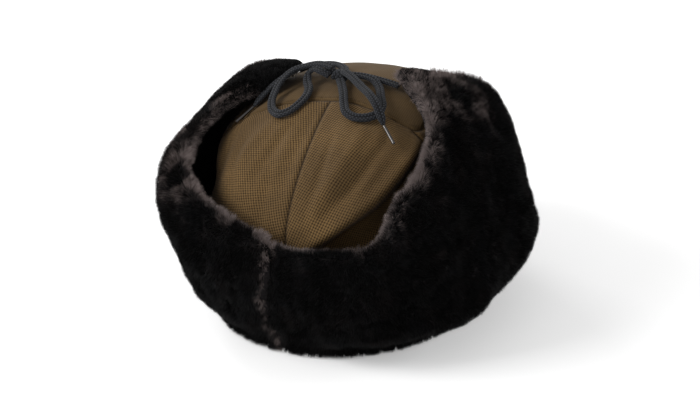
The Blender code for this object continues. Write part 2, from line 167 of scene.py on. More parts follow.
RIGHT_FLAP = (
    FlapSection(0, 82, 1, 3, 3, 3, 11, 14.5, 14.5),
    FlapSection(3.5, 81, 1, 3, 3, 3, 12, 16, 15),
    FlapSection(7, 81, 1, 3, 4, 4, 13, 17, 16),
    FlapSection(20, 84, 3, 8, 10, 10, 17, 19, 17),
    FlapSection(27, 84.5, 4.5, 11, 13, 12, 18, 20, 17),
    FlapSection(31, 86, 5.5, 12, 14, 13, 19, 21, 17),
    FlapSection(34, 90, 6, 13, 15, 14, 20, 21, 17),
    FlapSection(37, 98, 6.5, 14, 15, 14, 21, 21, 17),
    FlapSection(41, 106, 7.5, 14, 15, 13, 22, 22, 17),
    FlapSection(45, 109, 8, 15, 15, 12, 23, 22, 17),
    FlapSection(56, 129, 11, 15, 11, 8, 26, 21, 15),
    FlapSection(64, 148, 13, 13, 6, 4, 28, 19, 13),
    FlapSection(71, 166, 12, 11, 3, 2, 26, 18, 12),
    FlapSection(80, 176, 12, 11, 3, 2, 26, 17, 10),
    FlapSection(96, 176, 12, 11, 3, 2, 26, 19, 10),
    FlapSection(107, 162, 11, 9, 3, 2, 25, 21, 10),
    FlapSection(116, 134, 8, 9, 7, 5, 21, 19, 12),
    FlapSection(126, 108, 5, 8, 8, 7, 17, 16, 13),
    FlapSection(137.3, 93, 3, 5, 5, 4, 15, 16, 14),
)
HALF_VISOR = (
    FlapSection(137.9, 72, 1, 2, 3, 3, 14, 15, 14),
    FlapSection(143, 84, 1, 2, 3, 3, 15, 16, 15),
    FlapSection(152, 90, 1, 2, 3, 3, 15, 16, 15),
    FlapSection(180, 92, 1, 2, 3, 3, 15, 16, 15),
)

# The painted highlight band of the pile below the rim: degrees from the back, the band's width in millimetres, its
# strength.
LEFT_SHINE = (
    (0, 12, 1.2), (12, 14, 1.1), (30, 17, 1.1), (40, 26, 1.2), (50, 28, 1.1), (58, 20, 0.7), (94, 20, 0.7),
    (106, 16, 1.1), (136, 8, 0.6),
)
RIGHT_SHINE = (
    (0, 3.5, 0.6), (26, 6, 0.7), (32, 18, 1.6), (44, 18, 1.5), (52, 16, 1.0), (66, 18, 0.9), (84, 24, 0.9),
    (136, 8, 0.5),
)
VISOR_SHINE = ((124, 6, 0.5), (180, 8, 0.6), (236, 6, 0.5))

# The parting of the pile at the back: a height, and how far it lies to the wearer's left of the middle there.
PARTING = ((4, 7.0), (12, 8.0), (24, 10.8), (44, 10.8), (60, 8.4), (70, 6.6), (84, 4.4))

# The points that each length of lace goes through.
ROUTES = {
    "tie_lead_left": (
        (36.9, -1.5, 154.8), (29.0, -5.5, 157.8), (17.0, -8.0, 160.2), (8.0, -4.0, 161.4), (3.0, 2.0, 162.0),
        (2.0, 8.3, 162.3),
    ),
    "tie_lead_right": (
        (-38.2, 9.5, 159.6), (-29.0, 8.6, 160.7), (-20.0, 7.2, 161.2), (-11.0, 6.4, 161.4), (-2.8, 9.1, 162.0),
    ),
    "bow_loop_left": (
        (8.5, 16.0, 162.4), (14.0, 15.4, 164.2), (20.5, 13.2, 164.2), (24.0, 14.6, 160.8), (22.6, 20.0, 158.0),
        (18.2, 28.5, 156.4), (17.0, 38.0, 154.4), (19.4, 45.3, 151.6), (22.8, 51.6, 149.3), (28.0, 54.0, 147.3),
        (35.0, 49.5, 146.5), (39.4, 41.6, 148.6), (40.6, 33.0, 152.2), (39.4, 22.5, 157.6), (34.5, 14.0, 161.8),
        (26.5, 9.6, 164.2), (17.5, 9.2, 166.4), (11.6, 11.0, 167.2), (7.0, 12.7, 166.9),
    ),
    "bow_loop_right": (
        (-4.2, 13.2, 163.4), (-13.0, 12.8, 164.2), (-21.7, 14.2, 163.4), (-28.0, 20.0, 161.2), (-33.2, 30.5, 159.4),
        (-37.4, 39.6, 157.2), (-37.6, 47.0, 155.2), (-32.2, 53.0, 153.9), (-23.5, 55.4, 154.0), (-17.6, 52.6, 155.1),
        (-13.4, 45.6, 156.8), (-8.6, 34.6, 159.4), (-4.2, 25.6, 160.6), (0.0, 18.2, 161.6),
    ),
    "bow_end_left": (
        (6.9, 10.4, 162.5), (14.5, 4.6, 164.0), (22.5, 0.6, 162.8), (31.0, 2.0, 160.4), (39.0, 9.6, 156.8),
        (44.4, 18.0, 153.6), (49.2, 25.2, 148.8), (53.0, 30.4, 143.8), (54.8, 34.8, 140.6),
    ),
    "bow_end_right": (
        (-2.1, 16.0, 167.2), (-11.4, 24.2, 166.8), (-20.4, 32.6, 165.6), (-30.5, 42.6, 164.8), (-37.8, 49.8, 161.4),
        (-42.0, 53.6, 156.2), (-44.6, 56.2, 152.0),
    ),
}
KNOT = (1.8, 13.4, 162.7)
KNOT_HALF = (6.2, 5.0, 4.2)
# Where the metal tips point.
AGLET_WAYS = {"left": (6.4, 11.0, -6.2), "right": (-8.8, 7.8, -6.2)}


def hermite(t: np.ndarray | float, start: np.ndarray, end: np.ndarray, into: np.ndarray,
            out: np.ndarray) -> np.ndarray:
    """A smooth curve between two values.

    Args:
        t: the share of the way, from 0 to 1.
        start: the value at 0.
        end: the value at 1.
        into: the slope at 0.
        out: the slope at 1.

    Returns:
        The value at t.
    """
    return (start * (1 + 2 * t) * (1 - t) ** 2 + end * t**2 * (3 - 2 * t)
            + into * t * (1 - t) ** 2 - out * t**2 * (1 - t))


def blend(place: np.ndarray, places: Sequence[float], values: Sequence[float]) -> np.ndarray:
    """Reads a smooth curve through values at places.

    Args:
        place: where it is read.
        places: where the values hold, in rising order.
        values: the values there.

    Returns:
        The curve's values at place.
    """
    places, values = np.asarray(places, float), np.asarray(values, float)
    slopes = np.gradient(values, places)
    place = np.clip(place, places[0], places[-1])
    i = np.clip(np.searchsorted(places, place, side="right") - 1, 0, len(places) - 2)
    span = places[i + 1] - places[i]
    return hermite((place - places[i]) / span, values[i], values[i + 1], slopes[i] * span, slopes[i + 1] * span)


def blend_rows(share: float, places: tuple[float, ...], values: list[np.ndarray]) -> np.ndarray:
    """Reads several smooth curves at one share.

    Args:
        share: where they are read.
        places: where the values hold.
        values: for each place, the value of every curve there.

    Returns:
        Each curve's value at share.
    """
    rows = np.stack(values)
    slopes = np.gradient(rows, places, axis=0)
    i = int(np.clip(np.searchsorted(places, share, side="right") - 1, 0, len(places) - 2))
    span = places[i + 1] - places[i]
    return hermite((share - places[i]) / span, rows[i], rows[i + 1], slopes[i] * span, slopes[i + 1] * span)


def ease(value: np.ndarray, low: float, high: float) -> np.ndarray:
    """A smooth step: 0 below low, 1 above high."""
    t = np.clip((np.asarray(value, float) - low) / (high - low), 0, 1)
    return t * t * (3 - 2 * t)


def bell(away: np.ndarray, width: np.ndarray | float) -> np.ndarray:
    """1 where away is 0, fading to nothing past width."""
    return np.exp(-((away / width) ** 2))


def unit(vectors: np.ndarray) -> np.ndarray:
    """The vectors at length 1."""
    return vectors / np.maximum(np.linalg.norm(vectors, axis=-1, keepdims=True), 1e-9)


def run_along(line: np.ndarray) -> np.ndarray:
    """How far along a line each of its points lies."""
    return np.concatenate([[0], np.cumsum(np.linalg.norm(np.diff(line, axis=0), axis=1))])


def dimmed(colour: Colour, share: float) -> Colour:
    """A colour times a share."""
    return tuple(share * c for c in colour)


def column(table: tuple[NamedTuple, ...], name: str) -> list[float]:
    """One named column of a table."""
    return [getattr(row, name) for row in table]


def wave(points: np.ndarray, size: float, seed: float) -> np.ndarray:
    """A smooth field of swells over points.

    Args:
        points: places in millimetres.
        size: about how far apart the swells are.
        seed: turns the field into another.

    Returns:
        Values from about -1 to 1.
    """
    total = np.zeros(points.shape[:-1])
    for k in range(5):
        a = seed + 2.4 * k
        way = np.array([math.cos(a), math.sin(a) * math.cos(1.7 * a), math.sin(1.3 * a) + 0.3])
        total = total + np.sin(points @ (way / np.linalg.norm(way)) * (2 * math.pi / size) * (0.75 + 0.13 * k) + a * 5)
    return total / 2.6


@dataclass(frozen=True)
class CrownShape:
    """The crown's surface: its outline at each level, the slack of its top, and its folds."""

    lean_slope: float = 0.10
    lean_from: float = 90.0
    lean_full: float = 150.0
    cloth: float = 2.4
    top_half_width: float = 65.0
    top_back: float = 36.0
    top_back_curve: float = 10.0
    top_front: float = -66.0

    def at(self, angle: np.ndarray, level: np.ndarray) -> np.ndarray:
        """Points of the crown's smooth face, before its lean.

        Args:
            angle: degrees round the hat.
            level: rows up the crown.

        Returns:
            Points in millimetres.
        """
        a = np.radians(angle)
        across, along = np.sin(a), np.cos(a)
        read = {name: blend(level, list(range(len(CROWN))), column(CROWN, name)) for name in CrownRow._fields}
        fuller = 1 + read["fuller"] * np.sin(2 * a) ** 2
        back, front = np.clip(along, 0, 1) ** 2, np.clip(-along, 0, 1) ** 2
        length = np.where(along > 0, read["back_out"], read["front_out"])
        up = read["back_up"] * back + read["front_up"] * front + read["side_up"] * across**2
        return np.stack([read["side_out"] * across * fuller, length * along * fuller, up], axis=-1)

    def normal(self, angle: np.ndarray, level: np.ndarray) -> np.ndarray:
        """Outward directions of the smooth face.

        Args:
            angle: degrees round the hat.
            level: rows up the crown.

        Returns:
            Directions of length 1.
        """
        step = 0.02
        level = np.clip(level, step, TOP_ROW - 2 * step)
        round_it = self.at(angle - 1, level) - self.at(angle + 1, level)
        upward = self.at(angle, level + step) - self.at(angle, level - step)
        return unit(np.cross(round_it, upward))

    def lean(self, points: np.ndarray) -> np.ndarray:
        """Lets the slack upper part sag to one side.

        Args:
            points: places before the sag, in millimetres.

        Returns:
            The places after it.
        """
        points = points.copy()
        points[..., 2] -= self.lean_slope * points[..., 0] * ease(points[..., 2], self.lean_from, self.lean_full)
        return points

    def off(self, angle: np.ndarray, level: np.ndarray, distance: np.ndarray | float) -> np.ndarray:
        """Points outside the smooth face.

        Args:
            angle: degrees round the hat.
            level: rows up the crown.
            distance: millimetres outward.

        Returns:
            Points in millimetres, with the hat's lean.
        """
        angle, level = np.broadcast_arrays(np.asarray(angle, float), np.asarray(level, float))
        far = np.broadcast_to(np.asarray(distance, float), angle.shape)[..., None]
        return self.lean(self.at(angle, level) + self.normal(angle, level) * far)

    def folded(self, angle: np.ndarray, level: np.ndarray, folds: tuple[Fold, ...]) -> np.ndarray:
        """How far folds move the face outward.

        Args:
            angle: degrees round the hat.
            level: rows up the crown.
            folds: the creases and swells.

        Returns:
            Millimetres outward.
        """
        place = np.stack(np.broadcast_arrays(angle, level), axis=-1) * FACE_SCALE
        total = np.zeros(place.shape[:-1])
        for fold in folds:
            start = np.array([fold.angle, fold.level]) * FACE_SCALE
            line = np.array([fold.to_angle, fold.to_level]) * FACE_SCALE - start
            along = np.clip((place - start) @ line / (line @ line), 0, 1)
            away = np.linalg.norm(place - start - along[..., None] * line, axis=-1)
            total += fold.depth * np.sin(math.pi * (0.15 + 0.7 * along)) * bell(away, fold.width)
        return total

    def levels(self, angles: np.ndarray, reaches: np.ndarray) -> np.ndarray:
        """Crown levels at distances up the face from the hem.

        Args:
            angles: degrees, one for each row of reaches.
            reaches: millimetres up the crown, one row for each angle.

        Returns:
            Levels in the shape of reaches.
        """
        steps = np.linspace(0, TOP_ROW, 241)
        found = np.zeros_like(reaches, dtype=float)
        for i, angle in enumerate(angles):
            run = run_along(self.at(np.full_like(steps, angle), steps))
            found[i] = np.interp(reaches[i], run, steps)
        return found

    def top_edge(self, angle: np.ndarray) -> np.ndarray:
        """Level of the seam round the top panel, which is a square with round corners seen from above.

        Args:
            angle: degrees round the hat.

        Returns:
            The seam's level at each angle.
        """
        steps = np.linspace(3.5, 7.6, 240)
        found = []
        for a in np.ravel(angle):
            x, y, _ = self.at(np.full_like(steps, a), steps).T
            x = x / self.top_half_width
            y = np.where(y > 0, y / (self.top_back + self.top_back_curve * x**2), y / self.top_front)
            found.append(np.interp(-1.0, -((np.abs(x) ** 8 + np.abs(y) ** 8) ** (1 / 8)), steps))
        return np.reshape(found, np.shape(angle))


SHAPE = CrownShape()


class Value:
    """A shader socket, or a number, that takes part in Python arithmetic."""

    def __init__(self, tree: "Finish", socket: bpy.types.NodeSocket) -> None:
        """Keeps the socket and the finish whose nodes it is among."""
        self.tree, self.socket = tree, socket

    def _math(self, operation: str, *values: "Value | float") -> "Value":
        """A Math node on values."""
        return self.tree.node("ShaderNodeMath", {"operation": operation}, dict(enumerate(values)))

    def __add__(self, other: "Value | float") -> "Value":
        """The sum."""
        return self._math("ADD", self, other)

    __radd__ = __add__

    def __mul__(self, other: "Value | float") -> "Value":
        """The product."""
        return self._math("MULTIPLY", self, other)

    __rmul__ = __mul__

    def __sub__(self, other: "Value | float") -> "Value":
        """The difference."""
        return self._math("SUBTRACT", self, other)

    def __rsub__(self, other: float) -> "Value":
        """A number less this value."""
        return self._math("SUBTRACT", other, self)

    def sine(self) -> "Value":
        """The sine of this value in radians."""
        return self._math("SINE", self)

    def size(self) -> "Value":
        """This value without its sign."""
        return self._math("ABSOLUTE", self)

    def between(self, low: float, high: float) -> "Value":
        """Stretched so that low becomes 0 and high 1, and kept inside."""
        return self.tree.node(
            "ShaderNodeMapRange", {"clamp": True, "interpolation_type": "SMOOTHSTEP"},
            {"Value": self, "From Min": low, "From Max": high},
        )


class Finish:
    """A material in the making: its shader, and the one method that adds nodes to it."""

    def __init__(self, name: str) -> None:
        """Makes the material with its shader.

        Args:
            name: the material's name.
        """
        self.material = bpy.data.materials.new(name)
        self.material.use_nodes = True
        self.nodes = self.material.node_tree.nodes
        self.shader = self.nodes["Principled BSDF"]

    def node(self, kind: str, settings: dict | None = None, values: dict | None = None, out: int | str = 0) -> Value:
        """Adds a node.

        Args:
            kind: the node's type.
            settings: its properties, set first; "stops" gives a ramp's places and colours.
            values: a number, colour or value for each named or numbered socket.
            out: the output that is returned.

        Returns:
            That output, ready for arithmetic.
        """
        made = self.nodes.new(kind)
        for name, value in (settings or {}).items():
            if name == "stops":
                for i, (place, colour) in enumerate(value):
                    stop = made.color_ramp.elements[i] if i < 2 else made.color_ramp.elements.new(place)
                    stop.position, stop.color = place, (*colour, 1)
            else:
                setattr(made, name, value)
        for name, value in (values or {}).items():
            self.give(made.inputs[name], value)
        return Value(self, made.outputs[out])

    def give(self, socket: bpy.types.NodeSocket, value: object) -> None:
        """Sets or links one socket.

        Args:
            socket: the socket.
            value: a value to link, or a colour or number to set.
        """
        if isinstance(value, Value):
            self.material.node_tree.links.new(value.socket, socket)
        elif isinstance(value, tuple) and len(socket.default_value) == 4:
            socket.default_value = (*value, 1)
        else:
            socket.default_value = value

    def set(self, **values: object) -> None:
        """Sets the shader's sockets, named with _ for a space."""
        for name, value in values.items():
            self.give(self.shader.inputs[name.replace("_", " ")], value)

    def mix(self, share: Value | float, low: Value | Colour, high: Value | Colour) -> Value:
        """A colour between two others."""
        return self.node("ShaderNodeMix", {"data_type": "RGBA"}, {0: share, 6: low, 7: high}, out=2)

    def noise(self, size: float, detail: float = 3.0, rough: float = 0.55) -> Value:
        """A noise whose swells are size metres apart, on the object's own coordinates."""
        place = self.node("ShaderNodeTexCoord", out="Object")
        return self.node("ShaderNodeTexNoise", None,
                         {"Vector": place, "Scale": 1 / size, "Detail": detail, "Roughness": rough})

    def map_place(self, name: str) -> list[Value]:
        """The two coordinates of a UV map, in millimetres."""
        place = self.node("ShaderNodeUVMap", {"uv_map": name})
        return [self.node("ShaderNodeSeparateXYZ", None, {0: place}, out=axis) * 1000 for axis in "XY"]

    def attribute(self, name: str) -> Value:
        """A number kept on the mesh."""
        return self.node("ShaderNodeAttribute", {"attribute_name": name}, out="Fac")

    def bump(self, height: Value, strength: float, distance: float) -> None:
        """Raises the surface's shading by a height, distance in metres."""
        self.set(Normal=self.node("ShaderNodeBump", None,
                                  {"Height": height, "Strength": strength, "Distance": distance}, out="Normal"))


@dataclass(frozen=True)
class WaffleCloth:
    """The crown's coarse brown cloth: a small waffle weave, read from the map named cloth in millimetres."""

    thread: Colour = (0.152, 0.091, 0.035)
    gap: Colour = (0.019, 0.010, 0.0035)
    pitch: float = 1.75
    roughness: float = 0.86
    contrast: float = 1.0

    def make(self, name: str) -> bpy.types.Material:
        """Builds the material, with painted shade where the mesh's tone marks a seam's valley.

        Args:
            name: the material's name.

        Returns:
            The material.
        """
        f = Finish(name)
        wobble = (f.noise(0.012, 2.0) - 0.5) * 0.7
        turn = 2 * math.pi / self.pitch
        rib, course = (((place + wobble) * turn).sine() * 0.5 + 0.5 for place in f.map_place("cloth"))
        waffle = rib * 0.56 + course * 0.44
        yarn = f.noise(0.0011, 2.0, 0.7)
        pattern = waffle * 0.62 + yarn * 0.46
        shown = pattern.between(0.47 - 0.30 / self.contrast, 0.56 + 0.26 / self.contrast)
        worn = f.noise(0.035, 4.0)
        light = f.mix(worn.between(0.3, 0.75), dimmed(self.thread, 0.80), dimmed(self.thread, 1.18))
        plain = f.mix(shown, self.gap, light)
        # The mesh's tone paints shade into the seams' valleys and darkens the stitch holes.
        f.set(Base_Color=f.mix(f.attribute("tone") * 0.85, plain, dimmed(self.gap, 0.35)),
              Roughness=self.roughness + (worn - 0.5) * 0.12,
              Specular_IOR_Level=0.15, Sheen_Weight=0.04, Sheen_Roughness=0.5)
        f.bump(pattern, 0.6 * self.contrast, 0.0008)
        return f.material


@dataclass(frozen=True)
class Pile:
    """The fur's finish: near-black roots, and tips painted a warm grey where the tone marks painted highlights."""

    root: Colour = (0.0009, 0.0008, 0.0009)
    warm: Colour = (0.0075, 0.0052, 0.0052)
    cool: Colour = (0.0048, 0.0050, 0.0060)
    # tip: the warm grey of the painted highlights
    tip: Colour = (0.215, 0.174, 0.164)

    def make(self, name: str) -> bpy.types.Material:
        """Builds the material, which reads the strands' tone, with its painted highlights, from the mesh.

        Args:
            name: the material's name.

        Returns:
            The material.
        """
        f = Finish(name)
        tone = f.attribute("tone")
        patch = f.noise(0.027, 3.0, 0.6)
        share = tone * (0.45 + patch * 1.1)
        ramps = [f.node("ShaderNodeValToRGB", {"stops": ((0.0, self.root), (1.0, self.tip), (0.45, middle))},
                        {"Fac": share}, out="Color") for middle in (self.warm, self.cool)]
        f.set(Base_Color=f.mix(f.noise(0.018, 2.0).between(0.38, 0.62), *ramps), Roughness=0.6,
              Specular_IOR_Level=0.14, Sheen_Weight=0.05, Sheen_Roughness=0.4)
        return f.material


@dataclass(frozen=True)
class PlainDark:
    """The dark cloth under the pile and on the flaps' inner faces."""

    colour: Colour = (0.0065, 0.0055, 0.0058)

    def make(self, name: str) -> bpy.types.Material:
        """Builds the material, with a fine mottled nap.

        Args:
            name: the material's name.

        Returns:
            The material.
        """
        f = Finish(name)
        nap = f.noise(0.0022, 3.0, 0.7)
        f.set(Base_Color=f.mix(nap.between(0.3, 0.7), dimmed(self.colour, 0.5), dimmed(self.colour, 1.9)),
              Roughness=0.95, Specular_IOR_Level=0.1)
        f.bump(nap, 0.5, 0.0008)
        return f.material


@dataclass(frozen=True)
class Braid:
    """The lace: a flat braid of dark slate yarn, read from the map named braid in millimetres."""

    yarn: Colour = (0.0120, 0.0125, 0.0140)
    fleck: Colour = (0.040, 0.043, 0.052)
    yarns: int = 6
    plait: float = 2.2

    def make(self, name: str) -> bpy.types.Material:
        """Builds the material.

        Args:
            name: the material's name.

        Returns:
            The material.
        """
        f = Finish(name)
        x, y = f.map_place("braid")
        turn, rise = 2 * math.pi / LACE_ROUND, 2 * math.pi / self.plait
        slant = (x * turn * self.yarns + y * rise).sine() * 0.5 + 0.5
        other = (x * turn * self.yarns - y * rise).sine() * 0.5 + 0.5
        # middle: darker along the groove down each flat face, a lower bump there and painted shade in the colour
        middle = (x * turn + math.pi / 2).sine().size().between(-0.10, 0.20)
        nap = f.noise(0.0009, 3.0, 0.7)
        height = (slant * other * 0.55 + nap * 0.6) * middle
        f.set(Base_Color=f.mix(height.between(0.12, 0.95), dimmed(self.yarn, 0.3), self.fleck),
              Roughness=0.85, Specular_IOR_Level=0.2, Sheen_Weight=0.08, Sheen_Roughness=0.4)
        f.bump(height, 0.9, 0.0006)
        return f.material


@dataclass(frozen=True)
class TipMetal:
    """The lace tips' thin pressed metal, dulled by handling."""

    colour: Colour = (0.10, 0.094, 0.092)

    def make(self, name: str) -> bpy.types.Material:
        """Builds the material.

        Args:
            name: the material's name.

        Returns:
            The material.
        """
        f = Finish(name)
        scratch = f.noise(0.0016, 4.0, 0.7)
        f.set(Base_Color=self.colour, Metallic=1.0, Roughness=0.22 + scratch * 0.25)
        return f.material


def new_mesh(name: str, points: np.ndarray, faces: list, finish: bpy.types.Material, smooth: bool = True,
             maps: dict | None = None, tones: np.ndarray | None = None) -> bpy.types.Object:
    """Makes a piece from points in millimetres.

    Args:
        name: the piece's name.
        points: its points, in millimetres.
        faces: for each face, the indices of its points.
        finish: its material.
        smooth: whether its faces shade as one surface.
        maps: for each UV map's name, a place for each point.
        tones: a number for each point, kept as the attribute tone.

    Returns:
        The object, at the origin.
    """
    mesh = bpy.data.meshes.new(name)
    mesh.from_pydata(((np.asarray(points, float).reshape(-1, 3) + ORIGIN) * MM).tolist(), [], faces)
    corners = np.empty(len(mesh.loops), np.int32)
    mesh.loops.foreach_get("vertex_index", corners)
    for map_name, places in (maps or {}).items():
        layer = mesh.uv_layers.new(name=map_name)
        layer.uv.foreach_set("vector", np.asarray(places, np.float32).reshape(-1, 2)[corners].ravel())
    if tones is not None:
        mesh.attributes.new("tone", "FLOAT", "POINT").data.foreach_set("value", np.asarray(tones, np.float32))
    mesh.polygons.foreach_set("use_smooth", np.full(len(mesh.polygons), smooth))
    mesh.materials.append(finish)
    mesh.update()
    made = bpy.data.objects.new(name, mesh)
    bpy.context.scene.collection.objects.link(made)
    return made


def grid_cells(rows: int, columns: int, closed: bool = False) -> list[tuple[int, int, int, int]]:
    """The four-sided faces of a grid of points, row after row.

    Args:
        rows: points one way.
        columns: points the other way.
        closed: whether the last column joins the first.

    Returns:
        The faces' point indices.
    """
    i, j = np.meshgrid(np.arange(rows - 1), np.arange(columns if closed else columns - 1), indexing="ij")
    k = (j + 1) % columns
    return np.stack([i * columns + j, i * columns + k, (i + 1) * columns + k, (i + 1) * columns + j], -1).reshape(
        -1, 4).tolist()


def tube_cells(rings: int, around: int) -> list:
    """The faces of a tube of rings of points, with one face over each end."""
    ends = [list(range(around))[::-1], list(range((rings - 1) * around, rings * around))]
    return grid_cells(rings, around, closed=True) + ends


def only(piece: bpy.types.Object) -> None:
    """Selects one piece alone and makes it the active one.

    Args:
        piece: the piece.
    """
    bpy.ops.object.select_all(action="DESELECT")
    piece.select_set(True)
    bpy.context.view_layer.objects.active = piece


def apply_modifier(piece: bpy.types.Object, kind: str, **settings: object) -> None:
    """Adds a modifier and applies it.

    Args:
        piece: the piece that it shapes.
        kind: the modifier's type.
        settings: its properties.
    """
    modifier = piece.modifiers.new(kind.lower(), kind)
    for name, value in settings.items():
        setattr(modifier, name, value)
    only(piece)
    bpy.ops.object.modifier_apply(modifier=modifier.name)


def face_outward(piece: bpy.types.Object) -> None:
    """Turns a closed piece's faces outward.

    Args:
        piece: the closed piece.
    """
    only(piece)
    bpy.ops.object.mode_set(mode="EDIT")
    bpy.ops.mesh.select_all(action="SELECT")
    bpy.ops.mesh.normals_make_consistent(inside=False)
    bpy.ops.object.mode_set(mode="OBJECT")


def settle(piece: bpy.types.Object, slot: str, *nodes: str) -> None:
    """Rides a finished piece on the hat.

    Args:
        piece: the finished piece.
        slot: not used.
        nodes: the frame's nodes that it stands for.
    """
    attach(piece, "root")
    if nodes:
        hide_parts(*nodes)
    LOG.info("%s: %d faces", piece.name, len(piece.data.polygons))


@dataclass
class Crown:
    """The cloth crown: two back panels, two side panels and the top."""

    finish: bpy.types.Material
    # the top panel's cloth, its thread darker as painted shade
    top_finish: bpy.types.Material
    back_corner: float = 58.0  # angle of the side seam at the top
    back_hem: float = 84.0  # and at the hem
    seam_gap: float = -0.10  # degrees between panels: below 0, they lap
    top_lap: float = 0.005  # levels by which the walls and the top lap
    seam_dip: float = 1.4
    seam_width: float = 2.0
    grain: float = 20.0  # degrees that the back panels' weave is turned
    fine: int = 70  # points each way in a back panel
    side_more: int = 16  # and how many more across a side panel
    crowding: float = 1.35  # how much closer the rows lie near the top
    fine_folds: float = 1.7
    tuck_start: tuple[float, float] = (-9.0, 2.75)  # angle and level
    tuck_end: tuple[float, float] = (-62.0, 5.2)
    tuck_drop: float = 12.0
    tuck_ridge: float = 3.0

    def side_seam(self, share: np.ndarray) -> np.ndarray:
        """Angle of the seam between the back and side panels at a share of the wall's height."""
        return self.back_hem + (self.back_corner - self.back_hem) * np.asarray(share) ** 1.5

    def relief(self, angle: np.ndarray, level: np.ndarray, points: np.ndarray) -> np.ndarray:
        """Folds and slack of the cloth at places on the crown.

        Args:
            angle: degrees round the hat.
            level: rows up the crown.
            points: the places, in millimetres.

        Returns:
            Millimetres outward.
        """
        slack = 0.45 * wave(points, 46, 1.0) + 0.20 * wave(points, 19, 4.0)
        folds = SHAPE.folded(angle, level, FOLDS) + self.fine_folds * SHAPE.folded(angle, level, FINE_FOLDS)
        return folds + self.tuck(angle, level) + slack

    def tuck(self, angle: np.ndarray, level: np.ndarray) -> np.ndarray:
        """The deep fold of the right back panel: a ridge, and beyond it the cloth that drops behind the fur.

        Args:
            angle: degrees round the hat.
            level: rows up the crown.

        Returns:
            Millimetres outward.
        """
        place = np.stack(np.broadcast_arrays(angle, level), axis=-1) * FACE_SCALE
        start = np.array(self.tuck_start) * FACE_SCALE
        line = np.array(self.tuck_end) * FACE_SCALE - start
        length = np.linalg.norm(line)
        way = line / length
        along = (place - start) @ way / length
        beyond = (place - start) @ np.array([-way[1], way[0]])
        here = ease(along, -0.10, 0.16) * (1 - ease(along, 0.84, 1.12)) * ease(level, 0.7, 2.0)
        drop = -self.tuck_drop * ease(beyond, -2.5, 5.5) * (1 - ease(beyond, 16, 44))
        ridge = self.tuck_ridge * bell(beyond + 5.0, 5.0)
        return here * (drop + ridge)

    def seam(self, away: np.ndarray, along: np.ndarray) -> np.ndarray:
        """Depth of a seam's valley and its puckers.

        Args:
            away: millimetres from the seam.
            along: millimetres along it.

        Returns:
            Millimetres inward.
        """
        pucker = 0.16 * (np.sin(along * 0.95) + 0.6 * np.sin(along * 0.53 + 1.1)) * bell(away - 3.5, 3.0)
        return self.seam_dip * bell(away, self.seam_width) + pucker

    def seam_shade_line(self, away: np.ndarray, along: np.ndarray, stitched: bool) -> np.ndarray:
        """The painted shade in a seam's valley, and the dark stitch holes beside it.

        Args:
            away: millimetres from the seam.
            along: millimetres along it.
            stitched: whether a line of stitches runs beside it.

        Returns:
            From 0 for plain cloth to 1 in the seam.
        """
        dark = bell(away, 0.85)
        if stitched:
            holes = 0.42 + 0.38 * np.sin(along * 2 * math.pi / 3.2)
            dark = np.maximum(dark, holes * bell(away - 3.4, 0.55))
        return dark

    def wall(self, name: str, side: Side, back: bool) -> bpy.types.Object:
        """One panel of the crown's wall.

        Args:
            name: the piece's name.
            side: the wearer's side.
            back: whether it is a back panel, beside the centre seam.

        Returns:
            The finished panel.
        """
        count = self.fine
        share = 1 - np.linspace(1, 0, count)[:, None] ** self.crowding
        across = self.crowded(count if back else count + self.side_more)[None, :]
        seam = self.side_seam(share)
        start, end = (0 * share, seam) if back else (seam, 180 + 0 * share)
        gap = self.seam_gap
        angle = side.value * (start + gap + (end - start - 2 * gap) * across)
        level = share * (SHAPE.top_edge(angle[-1]) + self.top_lap)[None, :]
        smooth = SHAPE.off(angle, level, 0)
        step_across = np.linalg.norm(np.diff(smooth, axis=1), axis=-1)
        step_up = np.linalg.norm(np.diff(smooth, axis=0), axis=-1)
        run = np.concatenate([np.zeros((count, 1)), np.cumsum(step_across, axis=1)], axis=1)
        rise = np.concatenate([np.zeros((1, angle.shape[1])), np.cumsum(step_up, axis=0)], axis=0)
        height = rise[-1][None, :] - rise
        width = run[:, -1][:, None] - run
        dip = np.maximum(np.maximum(self.seam(run, rise), self.seam(width, rise)), self.seam(height, run))
        # dark: painted shade in the seams' valleys, kept as the attribute tone
        dark = np.maximum(self.seam_shade_line(run, rise, False), self.seam_shade_line(width, rise, False))
        dark = np.maximum(dark, self.seam_shade_line(height, run, False))
        outer = SHAPE.off(angle, level, self.relief(angle, level, smooth) - dip)
        turn = math.radians(self.grain if back else 0.0)
        u = run if back else run - run[:, run.shape[1] // 2][:, None]
        v = rise[:, :1] + 0 * rise
        cloth = np.stack([u * math.cos(turn) - v * math.sin(turn), u * math.sin(turn) + v * math.cos(turn)], -1) * MM
        piece = new_mesh(name, outer, grid_cells(*angle.shape), self.finish, maps={"cloth": cloth}, tones=dark.ravel())
        return self.thicken(piece, side is Side.LEFT)

    def crowded(self, count: int) -> np.ndarray:
        """Shares from 0 to 1 that lie closer together near both ends."""
        even = np.linspace(0, 1, count)
        return 0.35 * even + 0.65 * (0.5 - 0.5 * np.cos(math.pi * even))

    def thicken(self, piece: bpy.types.Object, turned: bool) -> bpy.types.Object:
        """Gives a panel its wall.

        Args:
            piece: the panel's outer face.
            turned: whether its faces point inward as made.

        Returns:
            The panel, closed.
        """
        if turned:
            piece.data.flip_normals()
        apply_modifier(piece, "SOLIDIFY", thickness=SHAPE.cloth * MM, offset=-1.0)
        return piece

